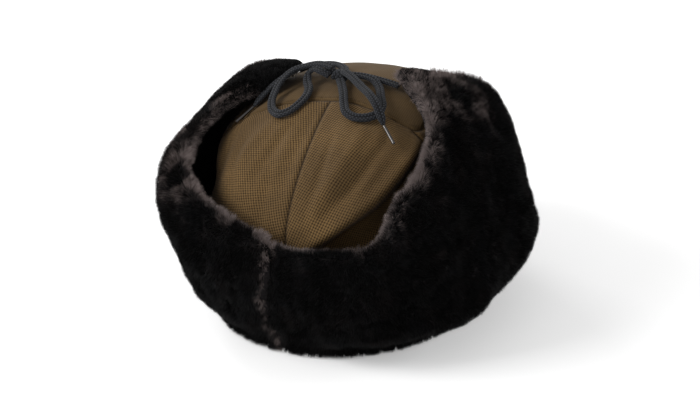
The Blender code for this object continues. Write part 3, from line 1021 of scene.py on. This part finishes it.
    def top(self, name: str) -> bpy.types.Object:
        """The top panel, in rings round its middle.

        Args:
            name: the piece's name.

        Returns:
            The finished panel.
        """
        angle = np.linspace(-180, 180, 181)[:-1]
        edge = SHAPE.top_edge(angle) - self.top_lap
        share = np.concatenate([np.linspace(0, 0.16, 16)[:-1], np.linspace(0.16, 0.985, 31)])[:, None]
        level = edge[None, :] + (TOP_ROW - edge[None, :]) * share
        angles = np.broadcast_to(angle[None, :], level.shape)
        smooth = SHAPE.off(angles, level, 0)
        away = np.concatenate([np.zeros((1, len(angle))),
                               np.cumsum(np.linalg.norm(np.diff(smooth, axis=0), axis=-1), axis=0)])
        along = np.cumsum(np.linalg.norm(np.diff(smooth[0], axis=0, append=smooth[0][:1]), axis=-1))
        along = np.broadcast_to(along[None, :], away.shape)
        dip = self.seam(away, along)
        # dark: painted shade in the seam round the top, with its dark stitch holes
        dark = self.seam_shade_line(away, along, True)
        pressed = bell(np.linalg.norm(smooth[..., :2] - np.array(KNOT[:2]), axis=-1), 16)
        outer = SHAPE.off(angles, level, self.relief(angles, level, smooth) - dip - pressed)
        count = len(angle)
        faces = grid_cells(share.shape[0], count, closed=True)
        points = np.concatenate([outer.reshape(-1, 3), outer[-1].mean(axis=0, keepdims=True)])
        last, middle = (share.shape[0] - 1) * count, len(points) - 1
        faces += [(last + i, last + (i + 1) % count, middle) for i in range(count)]
        cloth = points[:, :2] * MM
        piece = new_mesh(name, points, faces, self.top_finish, maps={"cloth": cloth}, tones=[*dark.ravel(), 0.0])
        return self.thicken(piece, True)

    def build(self) -> None:
        for side in Side:
            for kind, back in (("back", True), ("side", False)):
                piece = self.wall(f"crown_{kind}_panel_{side.word}", side, back)
                settle(piece, "brown_cloth", f"crown_{kind}_{side.word}")
        top = self.top("crown_top_panel")
        settle(top, "brown_cloth", "crown_top")


class Footing(NamedTuple):
    """Where strands of pile grow from."""

    place: np.ndarray  # on the pile's outer form
    out: np.ndarray  # directions outward, up the flap and round the hat
    up: np.ndarray
    along: np.ndarray
    past: np.ndarray  # millimetres past the flap's rim
    degrees: np.ndarray  # degrees round the hat


@dataclass(frozen=True)
class StrandTone:
    """How much a strand's tip is lightened by each thing: painted highlights and random tone, less painted shade in
    the parting.
    """

    base: float = 0.05
    band: float = 0.40  # painted highlight in the band below the rim
    tuft: float = 0.34  # a painted highlight tuft in the band
    rim: float = 0.34  # painted highlight along the rim itself
    fringe: float = 0.60  # painted highlight on the far side of the parting
    high: float = 0.30  # painted light on the flap's high corner
    patch: float = 0.24  # a broad patch
    lock: float = 0.14  # its own lock and the lock of locks
    strand: float = 0.14  # the strand itself, by chance
    groove: float = 0.3  # painted shade, taken off in the parting


TONE = StrandTone()


@dataclass
class FurFlap:
    """A turned-up flap: a dark backing with its pile, and a cloth face towards the crown."""

    name: str
    nodes: tuple[str, str]
    table: tuple[FlapSection, ...]
    sign: int
    pile: bpy.types.Material
    backing: bpy.types.Material
    parts: int
    strands: int
    seed: int
    shine: tuple[tuple[float, float, float], ...]
    hem_pile: float = 8.0  # depth of the fur at the hem
    layer: float = 2.9  # from the crown's side of the flap to its fur
    root_depth: float = 6.4  # how deep the strands start
    body_depth: float = 4.2  # how deep the dark body lies
    strand_length: float = 6.6
    strand_width: float = 0.52
    lock_size: float = 5.2
    sway_size: float = 15.0  # of the larger locks
    inner_band: float = 11.0  # width of the painted highlight band past the rim
    hem_height: float = 6.2  # where the facing is turned in under the crown
    shares: np.ndarray = field(default_factory=lambda: np.linspace(0.03, 0.97, 52))

    def read(self, angles: np.ndarray, name: str) -> np.ndarray:
        """One column of the table at angles."""
        return blend(angles, column(self.table, "angle"), column(self.table, name))

    def stand_off(self, angles: np.ndarray, share: float) -> np.ndarray:
        """Millimetres between the crown and the flap at a share of its reach."""
        values = [np.zeros_like(angles)] + [self.read(angles, n) for n in ("low", "middle", "high", "rim")]
        return blend_rows(share, (0.0, 0.2, 0.5, 0.8, 1.0), values)

    def pile_depth(self, angles: np.ndarray, share: float) -> np.ndarray:
        """Depth of the fur at a share of the flap's reach.

        Args:
            angles: degrees from the back.
            share: the share of the reach.

        Returns:
            Millimetres.
        """
        values = [np.full_like(angles, self.hem_pile)]
        values += [self.read(angles, n) for n in ("low_pile", "middle_pile", "rim_pile")]
        return blend_rows(share, (0.0, 0.2, 0.5, 1.0), values)

    def swell(self, angles: np.ndarray, reach: np.ndarray) -> np.ndarray:
        """The low swells where the pile's locks part.

        Args:
            angles: degrees from the back.
            reach: millimetres up the crown.

        Returns:
            Millimetres outward.
        """
        a = self.sign * angles
        broad = np.sin(a * 0.31 + 1.3 * np.sin(reach * 0.055)) * np.sin(reach * 0.105 + 0.8 * np.sin(a * 0.17))
        ripple = np.sin(a * 0.83 + reach * 0.21) * np.sin(reach * 0.24 - a * 0.4)
        return 0.9 * broad + 0.5 * ripple

    def hem_line(self, angles: np.ndarray) -> tuple[np.ndarray, np.ndarray]:
        """The crown's lowest line beside the flap, and its level directions outward."""
        turned = self.sign * angles
        return SHAPE.at(turned, 0 * angles), unit(SHAPE.normal(turned, 0 * angles) * np.array([1, 1, 0]))

    def section(self, angles: np.ndarray, inset: float) -> tuple[np.ndarray, int]:
        """Closed cross-sections of the pile.

        Args:
            angles: where they are.
            inset: millimetres that they lie inside the pile's outer form.

        Returns:
            Rings of points, from low on the outer face over the rim and down the inner face to the hem, and how
            many of each ring's points belong to the outer face and the rim.
        """
        reach = self.read(angles, "reach")
        reaches, offs = [], []
        for share in self.shares:
            off, deep = self.stand_off(angles, share), self.pile_depth(angles, share)
            lift = self.swell(angles, share * reach) * math.sin(math.pi * min(1, share * 1.1)) ** 0.5
            fur = deep * (1 - 0.12 * ease(share, 0.8, 0.97))
            offs.append(np.maximum(off + fur + lift - inset, off + self.layer + 1))
            reaches.append(share * reach)
        depth, rim = self.pile_depth(angles, 1.0), self.stand_off(angles, 1.0)
        half = np.maximum((depth * 0.88 - self.layer) / 2, 1.0)
        small = np.maximum(half - inset, 0.6)
        for turn in np.linspace(18, 162, 9):
            t = math.radians(turn)
            reaches.append(self.shares[-1] * reach + np.maximum(half * 0.75 - inset, 0.3) * math.sin(t))
            offs.append(rim + self.layer + half + small * math.cos(t))
        outside = len(reaches)
        for share in self.shares[::-1][::3]:
            reaches.append(share * reach)
            offs.append(self.stand_off(angles, share) + self.layer)
        levels = SHAPE.levels(angles, np.stack(reaches, axis=1))
        ring = SHAPE.off(self.sign * angles[:, None] + 0 * levels, levels, np.stack(offs, axis=1))
        base, out = self.hem_line(angles)
        far = offs[0] + inset
        hem = [base + out * (self.layer + (far - self.layer - inset) * s)[:, None] for s in (0.0, 0.22, 0.72, 0.95)]
        for points, height in zip(hem, (5.0, 0.0, 0.0, 3.4)):
            points[:, 2] = height + 0.8 * inset
        return np.concatenate([ring, np.stack(hem, axis=1)], axis=1), outside

    def backing_piece(self) -> bpy.types.Object:
        """The dark body of the flap, inside its pile.

        Returns:
            The body as a closed mesh.
        """
        angles = np.linspace(self.table[0].angle + 0.4, self.table[-1].angle - 0.4, 90)
        rings, _ = self.section(angles, self.body_depth)
        piece = new_mesh(f"{self.name}_body", rings, tube_cells(*rings.shape[:2]), self.backing)
        face_outward(piece)
        return piece

    def facing(self) -> bpy.types.Object:
        """The cloth face towards the crown, turned in under the crown's hem.

        Returns:
            The cloth as a closed mesh.
        """
        angles = np.linspace(self.table[0].angle + 0.2, self.table[-1].angle, 70)
        reach = self.read(angles, "reach")
        shares = np.linspace(0.03, 0.96, 34)
        levels = SHAPE.levels(angles, reach[:, None] * shares[None, :])
        off = np.stack([self.stand_off(angles, s) for s in shares], axis=1)
        points = SHAPE.off(self.sign * angles[:, None] + 0 * levels, levels, off + 0.5)
        base, out = self.hem_line(angles)
        sewn = np.stack([base - out * 3.0, base + out * 0.3], axis=1)
        sewn[..., 2] = self.hem_height
        points = np.concatenate([sewn, points], axis=1)
        place = np.stack([points[..., 0] + points[..., 1], points[..., 2]], -1) * MM
        piece = new_mesh(f"{self.name}_facing", points, grid_cells(*points.shape[:2]), self.backing,
                         maps={"cloth": place})
        apply_modifier(piece, "SOLIDIFY", thickness=1.5 * MM, offset=-1.0 if self.sign < 0 else 1.0)
        face_outward(piece)
        return piece

    def pile_surface(self) -> tuple[np.ndarray, ...]:
        """The surface that the pile grows from.

        Returns:
            A grid of points at the pile's outer form, their outward directions, the directions up the flap and
            round the hat, and how many millimetres they lie past the flap's rim.
        """
        angles = np.linspace(self.table[0].angle, self.table[-1].angle, 240)
        rings, outside = self.section(angles, 0.0)
        inner = rings[:, outside:outside + 8]
        grid = np.concatenate([rings[:, -3:], rings[:, :outside], inner], axis=1)
        round_it = np.gradient(grid, axis=0)
        upward = np.gradient(grid, axis=1)
        normal = unit(np.cross(upward, round_it)) * self.sign
        run = np.cumsum(np.linalg.norm(np.diff(grid, axis=1, prepend=grid[:, :1]), axis=-1), axis=1)
        top = run[:, outside + 3 - 5][:, None]
        return grid, normal, unit(upward), unit(round_it), run - top

    def scatter(self, part: int, surface: tuple[np.ndarray, ...], rng: np.random.Generator) -> Footing:
        """Scatters strands evenly over one stretch of the flap.

        Args:
            part: which stretch.
            surface: what pile_surface returns.
            rng: the stretch's random numbers.

        Returns:
            Where the strands grow from.
        """
        grid, normal, upward, round_it, past_rim = surface
        rows, columns = grid.shape[:2]
        low, high = part * (rows - 1) // self.parts, (part + 1) * (rows - 1) // self.parts
        cells = np.linalg.norm(np.cross(grid[1:, :-1] - grid[:-1, :-1], grid[:-1, 1:] - grid[:-1, :-1]), axis=-1)
        cells = cells[low:high].ravel()
        picked = np.searchsorted(np.cumsum(cells) / cells.sum(), rng.random(self.strands))
        i, j = low + picked // (columns - 1), picked % (columns - 1)
        a, b = rng.random((2, self.strands))

        def between(values: np.ndarray) -> np.ndarray:
            """A grid's values at the picked places."""
            u, v = a[:, None], b[:, None]
            return ((values[i, j] * (1 - u) + values[i + 1, j] * u) * (1 - v)
                    + (values[i, j + 1] * (1 - u) + values[i + 1, j + 1] * u) * v)

        degrees = self.table[0].angle + (i + a) / (rows - 1) * (self.table[-1].angle - self.table[0].angle)
        return Footing(between(grid), unit(between(normal)), unit(between(upward)), unit(between(round_it)),
                       between(past_rim[..., None])[:, 0], degrees)

    def painted_highlight_band(self, at: Footing) -> np.ndarray:
        """Strength of the painted highlight band below the rim at each strand.

        Args:
            at: where the strands grow from.

        Returns:
            From 0 outside the band to a little over 1.
        """
        turns, widths, gains = zip(*self.shine)
        width = np.where(at.past < 0, blend(at.degrees, turns, widths), self.inner_band)
        return blend(at.degrees, turns, gains) * bell(at.past, width)

    def past_parting(self, place: np.ndarray) -> np.ndarray:
        """How far each strand lies to the wearer's left of the parting.

        Args:
            place: the strands' places.

        Returns:
            Millimetres, and a large number on a flap that has no parting.
        """
        if self.sign < 0 or self.table[0].angle > 0:
            return np.full(len(place), 99.0)
        heights, steps = zip(*PARTING)
        return place[:, 0] - np.interp(place[:, 2], heights, steps)

    def lean(self, at: Footing, spin: np.ndarray, sway: np.ndarray, band: np.ndarray,
             rng: np.random.Generator) -> np.ndarray:
        """How the strands lean: each with its lock and its larger lock, upward in the painted highlight band, outward
        at an end.

        Args:
            at: where the strands grow from.
            spin: the turn of each strand's lock, from 0 to 1.
            sway: the turn of its larger lock.
            band: strength of the painted highlight band.
            rng: the stretch's random numbers.

        Returns:
            What is added to a strand's outward direction.
        """
        turn, wide = spin * 2 * math.pi, sway * 2 * math.pi
        lean = (at.up * (0.18 * np.cos(turn) + 0.36 * np.cos(wide) - 0.16 + 0.42 * band)[:, None]
                + np.cross(at.out, at.up) * (0.18 * np.sin(turn) + 0.36 * np.sin(wide))[:, None]
                + rng.normal(0, 0.18, (self.strands, 3)))
        first_end, last_end = at.degrees - self.table[0].angle, self.table[-1].angle - at.degrees
        held = 0.35 if self.table[0].angle else 0.08
        return lean + at.along * (0.35 * bell(last_end, 1.6) - held * bell(first_end, 1.6))[:, None]

    def bake_places(self) -> np.ndarray:
        """A place of its own for each strand on the square UV map, for its three corners.

        Returns:
            Places from 0 to 1, strand by strand.
        """
        side = math.ceil(math.sqrt(self.strands))
        cell = np.arange(self.strands)
        corner = np.stack([cell % side, cell // side], axis=-1)[:, None, :]
        return (corner + np.array([(0.12, 0.12), (0.82, 0.12), (0.47, 0.86)])[None]) / side

    def strand_piece(self, part: int, surface: tuple[np.ndarray, ...]) -> bpy.types.Object:
        """The pile of one stretch of the flap, as tapered strands in small locks.

        Args:
            part: which stretch.
            surface: what pile_surface returns.

        Returns:
            The strands as one mesh.
        """
        rng = np.random.default_rng(self.seed + part)
        at = self.scatter(part, surface, rng)
        place, out = at.place, at.out
        # band and edge: where painted highlight goes, in a band below the rim and in a line along it
        band, edge = self.painted_highlight_band(at), bell(at.past, 3.2)
        parted = self.past_parting(place)
        groove = bell(parted, 2.0)
        centre, spin, shade = self.locks(place, self.lock_size, self.seed)
        _, sway, tone = self.locks(place, self.sway_size, self.seed + 50)
        lean = self.lean(at, spin, sway, band, rng)
        # tuft: painted highlight tufts in the band
        tuft = ease(0.5 * tone + 0.3 * shade + 0.1 + 0.1 * wave(place, 21, 2.0), 0.42, 0.80) * band
        length = self.strand_length * (0.90 + 0.24 * rng.random(self.strands) + 0.14 * (shade - 0.5)
                                       + 0.10 * band + 0.30 * tuft - 0.25 * groove)
        root = place - out * (self.root_depth + 3.0 * groove)[:, None]
        tip = root + unit(out + 0.85 * lean) * length[:, None]
        pull = centre - place
        pull = pull - out * np.sum(pull * out, axis=1, keepdims=True)
        tip = tip + 0.20 * pull
        for points in (root, tip):
            points[:, 2] = np.maximum(points[:, 2], 0.25 + 0.5 * rng.random(self.strands))
        way = unit(tip - root)
        flat = unit(np.cross(out, way + rng.normal(0, 0.35, way.shape)))
        width = self.strand_width * (0.75 + 0.5 * rng.random(self.strands))[:, None]
        points = np.stack([root - flat * width / 2, root + flat * width / 2, tip], axis=1)
        faces = np.arange(self.strands * 3).reshape(-1, 3).tolist()
        # fringe: painted highlight on the far side of the parting
        spots = wave(place, 5.5, 7.0)
        fringe = np.where(parted > 0, bell(parted - 2.2, 3.2) * (1.05 + 0.35 * spots)
                          + bell(parted, 9.0) * ease(spots, 0.35, 0.8) * 0.6, 0.0)
        # high: painted light from above, lighter higher up the flap
        high = ease(place[:, 2], 85, 160) * (0.7 + 0.6 * tone) + ease(place[:, 2], 142, 166) * (0.4 + 0.9 * tone)
        patch = ease(wave(place, 33, 5.0) + 0.5 * wave(place, 14, 6.0), 0.1, 0.9)
        chance = (TONE.strand + 0.35 * band + 0.3 * edge) * (rng.random(self.strands) - 0.5)
        # lit: the tip's tone, painted highlights and random tone, less painted shade in the parting's groove
        lit = (TONE.base + TONE.band * band * (0.6 + 0.6 * tone) + TONE.tuft * tuft + TONE.rim * edge * (0.5 + shade)
               + TONE.fringe * fringe + TONE.high * high + TONE.patch * patch + TONE.lock * (tone - 0.5)
               + TONE.lock * (shade - 0.5) + chance - TONE.groove * groove * (parted < 0))
        tones = np.stack([-0.25 * lit, -0.25 * lit, 1.15 * lit], axis=1)
        return new_mesh(f"{self.name}_pile_{part + 1}", points, faces, self.pile, smooth=False,
                        maps={"OFBake": self.bake_places()}, tones=np.maximum(tones, 0).ravel())

    def locks(self, place: np.ndarray, size: float, seed: int) -> tuple[np.ndarray, np.ndarray, np.ndarray]:
        """The lock that each strand belongs to: scattered centres, each strand with its nearest.

        Args:
            place: the strands' places.
            size: about how far apart the locks are.
            seed: turns the scatter into another.

        Returns:
            The centres, and two random numbers for each lock.
        """
        cell = np.floor(place / size).astype(np.int64)
        best = np.full(len(place), np.inf)
        centre, spin, shade = np.zeros_like(place), np.zeros(len(place)), np.zeros(len(place))
        for dx in (-1, 0, 1):
            for dy in (-1, 0, 1):
                for dz in (-1, 0, 1):
                    near = cell + (dx, dy, dz)
                    key = near @ np.array([73856093, 19349663, 83492791]) + seed * 7919
                    draw = [np.modf(np.abs(np.sin(key * (0.00137 + 0.00021 * k)) * 43758.5453))[0] for k in range(5)]
                    middle = (near + np.stack(draw[:3], axis=-1)) * size
                    far = np.linalg.norm(middle - place, axis=-1)
                    nearer = far < best
                    best = np.where(nearer, far, best)
                    centre[nearer], spin[nearer], shade[nearer] = middle[nearer], draw[3][nearer], draw[4][nearer]
        return centre, spin, shade

    def build(self) -> None:
        """Builds the flap's pieces."""
        body = self.backing_piece()
        settle(body, "dark_fur", self.nodes[0])
        facing = self.facing()
        settle(facing, "dark_cloth", self.nodes[1])
        surface = self.pile_surface()
        for part in range(self.parts):
            settle(self.strand_piece(part, surface), "dark_fur")


@dataclass
class Lace:
    """The tie: lengths of flat braided lace, the knot that they meet in, and their metal tips."""

    braid: bpy.types.Material
    metal: bpy.types.Material
    width: float = 5.9
    depth: float = 3.3
    groove: float = 0.45
    step: float = 0.75
    around: int = 28
    aglet_length: float = 16.0
    aglet: float = 2.1  # a metal tip's width
    gap: float = 0.6  # between the lace and its tip
    crimp_cuts: tuple[float, ...] = (0.0012, 0.0020, 0.0026, 0.0034)  # metres up the tip
    crimp: float = 0.0023

    def path(self, points: tuple[tuple[float, float, float], ...]) -> np.ndarray:
        """The smooth curve through a route.

        Args:
            points: the route's points, in millimetres.

        Returns:
            Closely spaced points along it.
        """
        given = np.array(points, float)
        run = run_along(given)
        places = np.linspace(0, run[-1], max(8, round(run[-1] / self.step)))
        return np.stack([blend(places, list(run), list(given[:, k])) for k in range(3)], axis=1)

    def turns(self) -> np.ndarray:
        """Angles round the lace."""
        return np.linspace(0, 2 * math.pi, self.around, endpoint=False)

    def sweep(self, name: str, line: np.ndarray, flat: np.ndarray, ups: np.ndarray, x: np.ndarray,
              y: np.ndarray) -> bpy.types.Object:
        """Sweeps the lace's outline along a line.

        Args:
            name: the piece's name.
            line: the points that it follows, in millimetres.
            flat: for each point, the direction of the lace's width.
            ups: for each point, the direction of its thickness.
            x: the outline's places across the width.
            y: its places through the thickness.

        Returns:
            The lace as a closed mesh.
        """
        shape = (len(line), self.around)
        points = line[:, None] + flat[:, None] * x[..., None] + ups[:, None] * y[..., None]
        place = np.stack([np.broadcast_to(self.turns() * LACE_ROUND / (2 * math.pi), shape),
                          np.broadcast_to(run_along(line)[:, None], shape)], -1) * MM
        piece = new_mesh(name, points, tube_cells(*shape), self.braid, maps={"braid": place})
        face_outward(piece)
        return piece

    def tube(self, name: str, line: np.ndarray, narrow: bool) -> bpy.types.Object:
        """A length of lace along a line, its flat face away from the crown.

        Args:
            name: the piece's name.
            line: the points that it follows, in millimetres.
            narrow: whether its last end is pressed into a metal tip.

        Returns:
            The lace as a closed mesh.
        """
        way = unit(np.gradient(line, axis=0))
        ups = np.zeros_like(line)
        away = unit(line - np.array([0.0, 0.0, 70.0]))
        up = away[0]
        for k, direction in enumerate(way):
            wanted = 0.72 * up + 0.28 * away[k]
            up = unit(wanted - direction * (wanted @ direction))
            ups[k] = up
        flat = np.cross(way, ups)
        run, turn = run_along(line), self.turns()
        x = np.sign(np.cos(turn)) * np.abs(np.cos(turn)) ** 0.8 * self.width / 2
        dent = 1 - self.groove * bell(np.cos(turn), 0.30)
        y = np.sin(turn) * self.depth / 2 * dent
        strand = 0.13 * np.sin(turn[None, :] * 4 + run[:, None] * 1.9) * np.sin(turn[None, :] * 4 - run[:, None] * 1.9)
        swell = 1 + strand / 2
        if narrow:
            swell = swell * (1 - 0.5 * bell(run[-1] - run, 3.2))[:, None]
        return self.sweep(name, line, flat, ups, x * swell, y * swell)

    def knot(self) -> bpy.types.Object:
        """The knot: a core with lace wound round it.

        Returns:
            The knot as one piece.
        """
        middle = np.array(KNOT)
        bpy.ops.object.select_all(action="DESELECT")
        bpy.ops.mesh.primitive_uv_sphere_add(segments=32, ring_count=20, radius=1.0, location=(0, 0, 0))
        core = bpy.context.active_object
        core.name = "bow_knot_core"
        for v in core.data.vertices:
            p = np.array(v.co)
            swell = 1 + 0.10 * math.sin(4 * math.atan2(p[2], p[1]) + 2.5 * p[0])
            v.co = (middle + ORIGIN + p * np.array(KNOT_HALF) * 0.80 * swell) * MM
        core.data.materials.append(self.braid)
        core.data.uv_layers[0].name = "braid"
        core.data.polygons.foreach_set("use_smooth", np.full(len(core.data.polygons), True))
        wraps = []
        for k, (shift, lean, size) in enumerate(((-1.3, 0.25, 1.0), (2.2, -0.35, 0.94))):
            t = np.linspace(0.3 + k, 0.3 + k + 2 * math.pi * 1.02, 40)
            ring = [shift + lean * 3.4 * np.sin(t), 3.5 * size * np.cos(t), 2.7 * size * np.sin(t)]
            wraps.append(self.wrap(f"wrap_{k}", middle + np.stack(ring, -1), middle))
        only(core)
        for piece in wraps:
            piece.select_set(True)
        bpy.ops.object.join()
        core.name = "bow_knot_lace"
        core.data.name = "bow_knot_lace"
        return core

    def wrap(self, name: str, line: np.ndarray, middle: np.ndarray) -> bpy.types.Object:
        """A turn of lace round the knot, its flat side outward.

        Args:
            name: its name until it is joined to the knot.
            line: the points that it follows, in millimetres.
            middle: the knot's middle.

        Returns:
            The turn as a closed mesh.
        """
        ups = unit((line - middle) * np.array([0, 1, 1]))
        flat = unit(np.cross(unit(np.gradient(line, axis=0)), ups))
        turn = self.turns()
        x = np.cos(turn) * self.width * 0.46
        y = np.sin(turn) * self.depth * 0.42 * (1 - 0.35 * bell(np.cos(turn), 0.3))
        return self.sweep(name, line, flat, ups, x, y)

    def tip(self, side: str) -> bpy.types.Object:
        """The metal tip at the end of one lace: a rolled tube, crimped near its mouth and closed at its end.

        Args:
            side: the lace's side, as in its name.

        Returns:
            The tip.
        """
        way = Vector(AGLET_WAYS[side]).normalized()
        start = Vector(ROUTES[f"bow_end_{side}"][-1]) + way * self.gap
        turn = way.to_track_quat("Z", "Y").to_matrix().to_4x4()
        radius, length = self.aglet / 2 * MM, self.aglet_length * MM
        bpy.ops.object.select_all(action="DESELECT")
        bpy.ops.mesh.primitive_cylinder_add(vertices=28, radius=radius, depth=length, location=(0, 0, length / 2))
        piece = bpy.context.active_object
        piece.name = f"aglet_tip_{side}"
        bpy.ops.object.transform_apply(location=True)
        bpy.ops.object.mode_set(mode="EDIT")
        for height in self.crimp_cuts:
            bpy.ops.mesh.select_all(action="SELECT")
            bpy.ops.mesh.bisect(plane_co=(0, 0, height), plane_no=(0, 0, 1))
        bpy.ops.object.mode_set(mode="OBJECT")
        for v in piece.data.vertices:
            pinch = 1 - 0.16 * math.exp(-(((v.co.z - self.crimp) / 0.0005) ** 2))
            v.co.x, v.co.y = v.co.x * pinch, v.co.y * pinch
        apply_modifier(piece, "BEVEL", width=0.0005, segments=3, limit_method="ANGLE", angle_limit=math.radians(50))
        piece.data.transform(Matrix.Translation((start + Vector(ORIGIN)) * MM) @ turn)
        only(piece)
        bpy.ops.object.shade_smooth_by_angle(angle=math.radians(40))
        piece.data.materials.append(self.metal)
        return piece

    def build(self) -> None:
        knot = self.knot()
        settle(knot, "grey_cord", "bow_knot")
        tips = {}
        for side in AGLET_WAYS:
            tips[side] = self.tip(side)
            settle(tips[side], "steel", f"aglet_{side}")
        for name, points in ROUTES.items():
            line = self.path(points)
            kind, side = name.split("_")[1:]
            piece = self.tube(f"{name}_lace", line, kind == "end")
            settle(piece, "grey_cord", name)


@dataclass(frozen=True)
class Studio:
    """The camera, the floor and the soft light."""

    turned: float = 21.0  # degrees from straight behind the hat
    above: float = 25.0  # degrees over the floor
    away: float = 2.0
    lens: float = 152.2
    middle: float = 0.085  # height that the camera keeps its distance from
    aim_low: float = 0.0243  # how far under it the camera looks
    lit: float = 0.08  # height that the lamps look at

    def camera(self) -> None:
        """Sets the camera at the picture's angle."""
        t, e = math.radians(self.turned), math.radians(self.above)
        out = Vector((-math.sin(t) * math.cos(e), math.cos(t) * math.cos(e), math.sin(e)))
        right = Vector((-math.cos(t), -math.sin(t), 0))
        up = out.cross(right)
        target = Vector((0, 0, self.middle)) + Vector(ORIGIN) * MM
        data = bpy.data.cameras.new("camera")
        data.lens, data.sensor_width, data.clip_start, data.clip_end = self.lens, 36.0, 0.05, 30.0
        made = bpy.data.objects.new("camera", data)
        bpy.context.scene.collection.objects.link(made)
        made.location = target + out * self.away
        way = target - up * self.aim_low - made.location
        made.rotation_euler = way.to_track_quat("-Z", "Y").to_euler()
        bpy.context.scene.camera = made

    def floor(self) -> None:
        """A wide pale floor."""
        bpy.ops.object.select_all(action="DESELECT")
        bpy.ops.mesh.primitive_plane_add(size=12.0, location=(0, 0, -0.0002))
        made = bpy.context.active_object
        made.name = "floor"
        f = Finish("pale_floor")
        f.set(Base_Color=(0.80, 0.80, 0.80), Roughness=0.8, Specular_IOR_Level=0.1,
              Emission_Color=(1.0, 1.0, 1.0), Emission_Strength=0.36)
        made.data.materials.append(f.material)

    def lamp(self, name: str, place: tuple[float, float, float], size: float, power: float) -> None:
        """A square soft light that looks at the hat.

        Args:
            name: its name.
            place: where it hangs, in metres.
            size: its width in metres.
            power: in watts.
        """
        data = bpy.data.lights.new(name, "AREA")
        data.size, data.energy = size, power
        made = bpy.data.objects.new(name, data)
        bpy.context.scene.collection.objects.link(made)
        made.location = place
        made.rotation_euler = (Vector((0, 0, self.lit)) - Vector(place)).to_track_quat("-Z", "Y").to_euler()

    def build(self) -> None:
        """Sets up the studio."""
        scene = bpy.context.scene
        scene.view_settings.view_transform = "Standard"
        world = bpy.data.worlds.new("studio")
        world.use_nodes = True
        inputs = world.node_tree.nodes["Background"].inputs
        inputs["Color"].default_value, inputs["Strength"].default_value = (1, 1, 1, 1), 0.55
        scene.world = world
        self.floor()
        self.lamp("key", (1.45, 1.15, 1.40), 1.1, 40.0)
        self.lamp("rim_left", (1.5, -1.1, 0.9), 0.7, 12.0)
        self.lamp("rim_right", (-1.6, -0.9, 0.8), 0.7, 9.0)


def main() -> None:
    """Builds the dressed hat."""
    logging.basicConfig(level=logging.INFO, format="%(name)s %(message)s")
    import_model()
    studio = Studio()
    studio.camera()
    studio.build()
    Lace(Braid().make("slate_braid"), TipMetal().make("tip_metal")).build()
    # The top panel: a finer, flatter weave, its thread darker as painted shade on the top.
    top = WaffleCloth(thread=(0.118, 0.073, 0.030), gap=(0.045, 0.026, 0.010), pitch=1.3, contrast=0.5)
    Crown(WaffleCloth().make("waffle_cloth"), top.make("top_cloth")).build()
    pile, backing = Pile().make("dark_pile"), PlainDark().make("dark_backing")
    mirrored = tuple(row._replace(angle=360 - row.angle) for row in HALF_VISOR[-2::-1])
    FurFlap("flap_left", ("fur_flap_left", "flap_left_cloth"), LEFT_FLAP, 1, pile, backing, 2, 158000, 11,
            LEFT_SHINE).build()
    FurFlap("flap_right", ("fur_flap_right", "flap_right_cloth"), RIGHT_FLAP, -1, pile, backing, 2, 158000, 23,
            RIGHT_SHINE).build()
    FurFlap("visor", ("fur_visor", "visor_cloth"), HALF_VISOR + mirrored, 1, pile, backing, 1, 96000, 37,
            VISOR_SHINE).build()


if __name__ == "__main__":
    main()
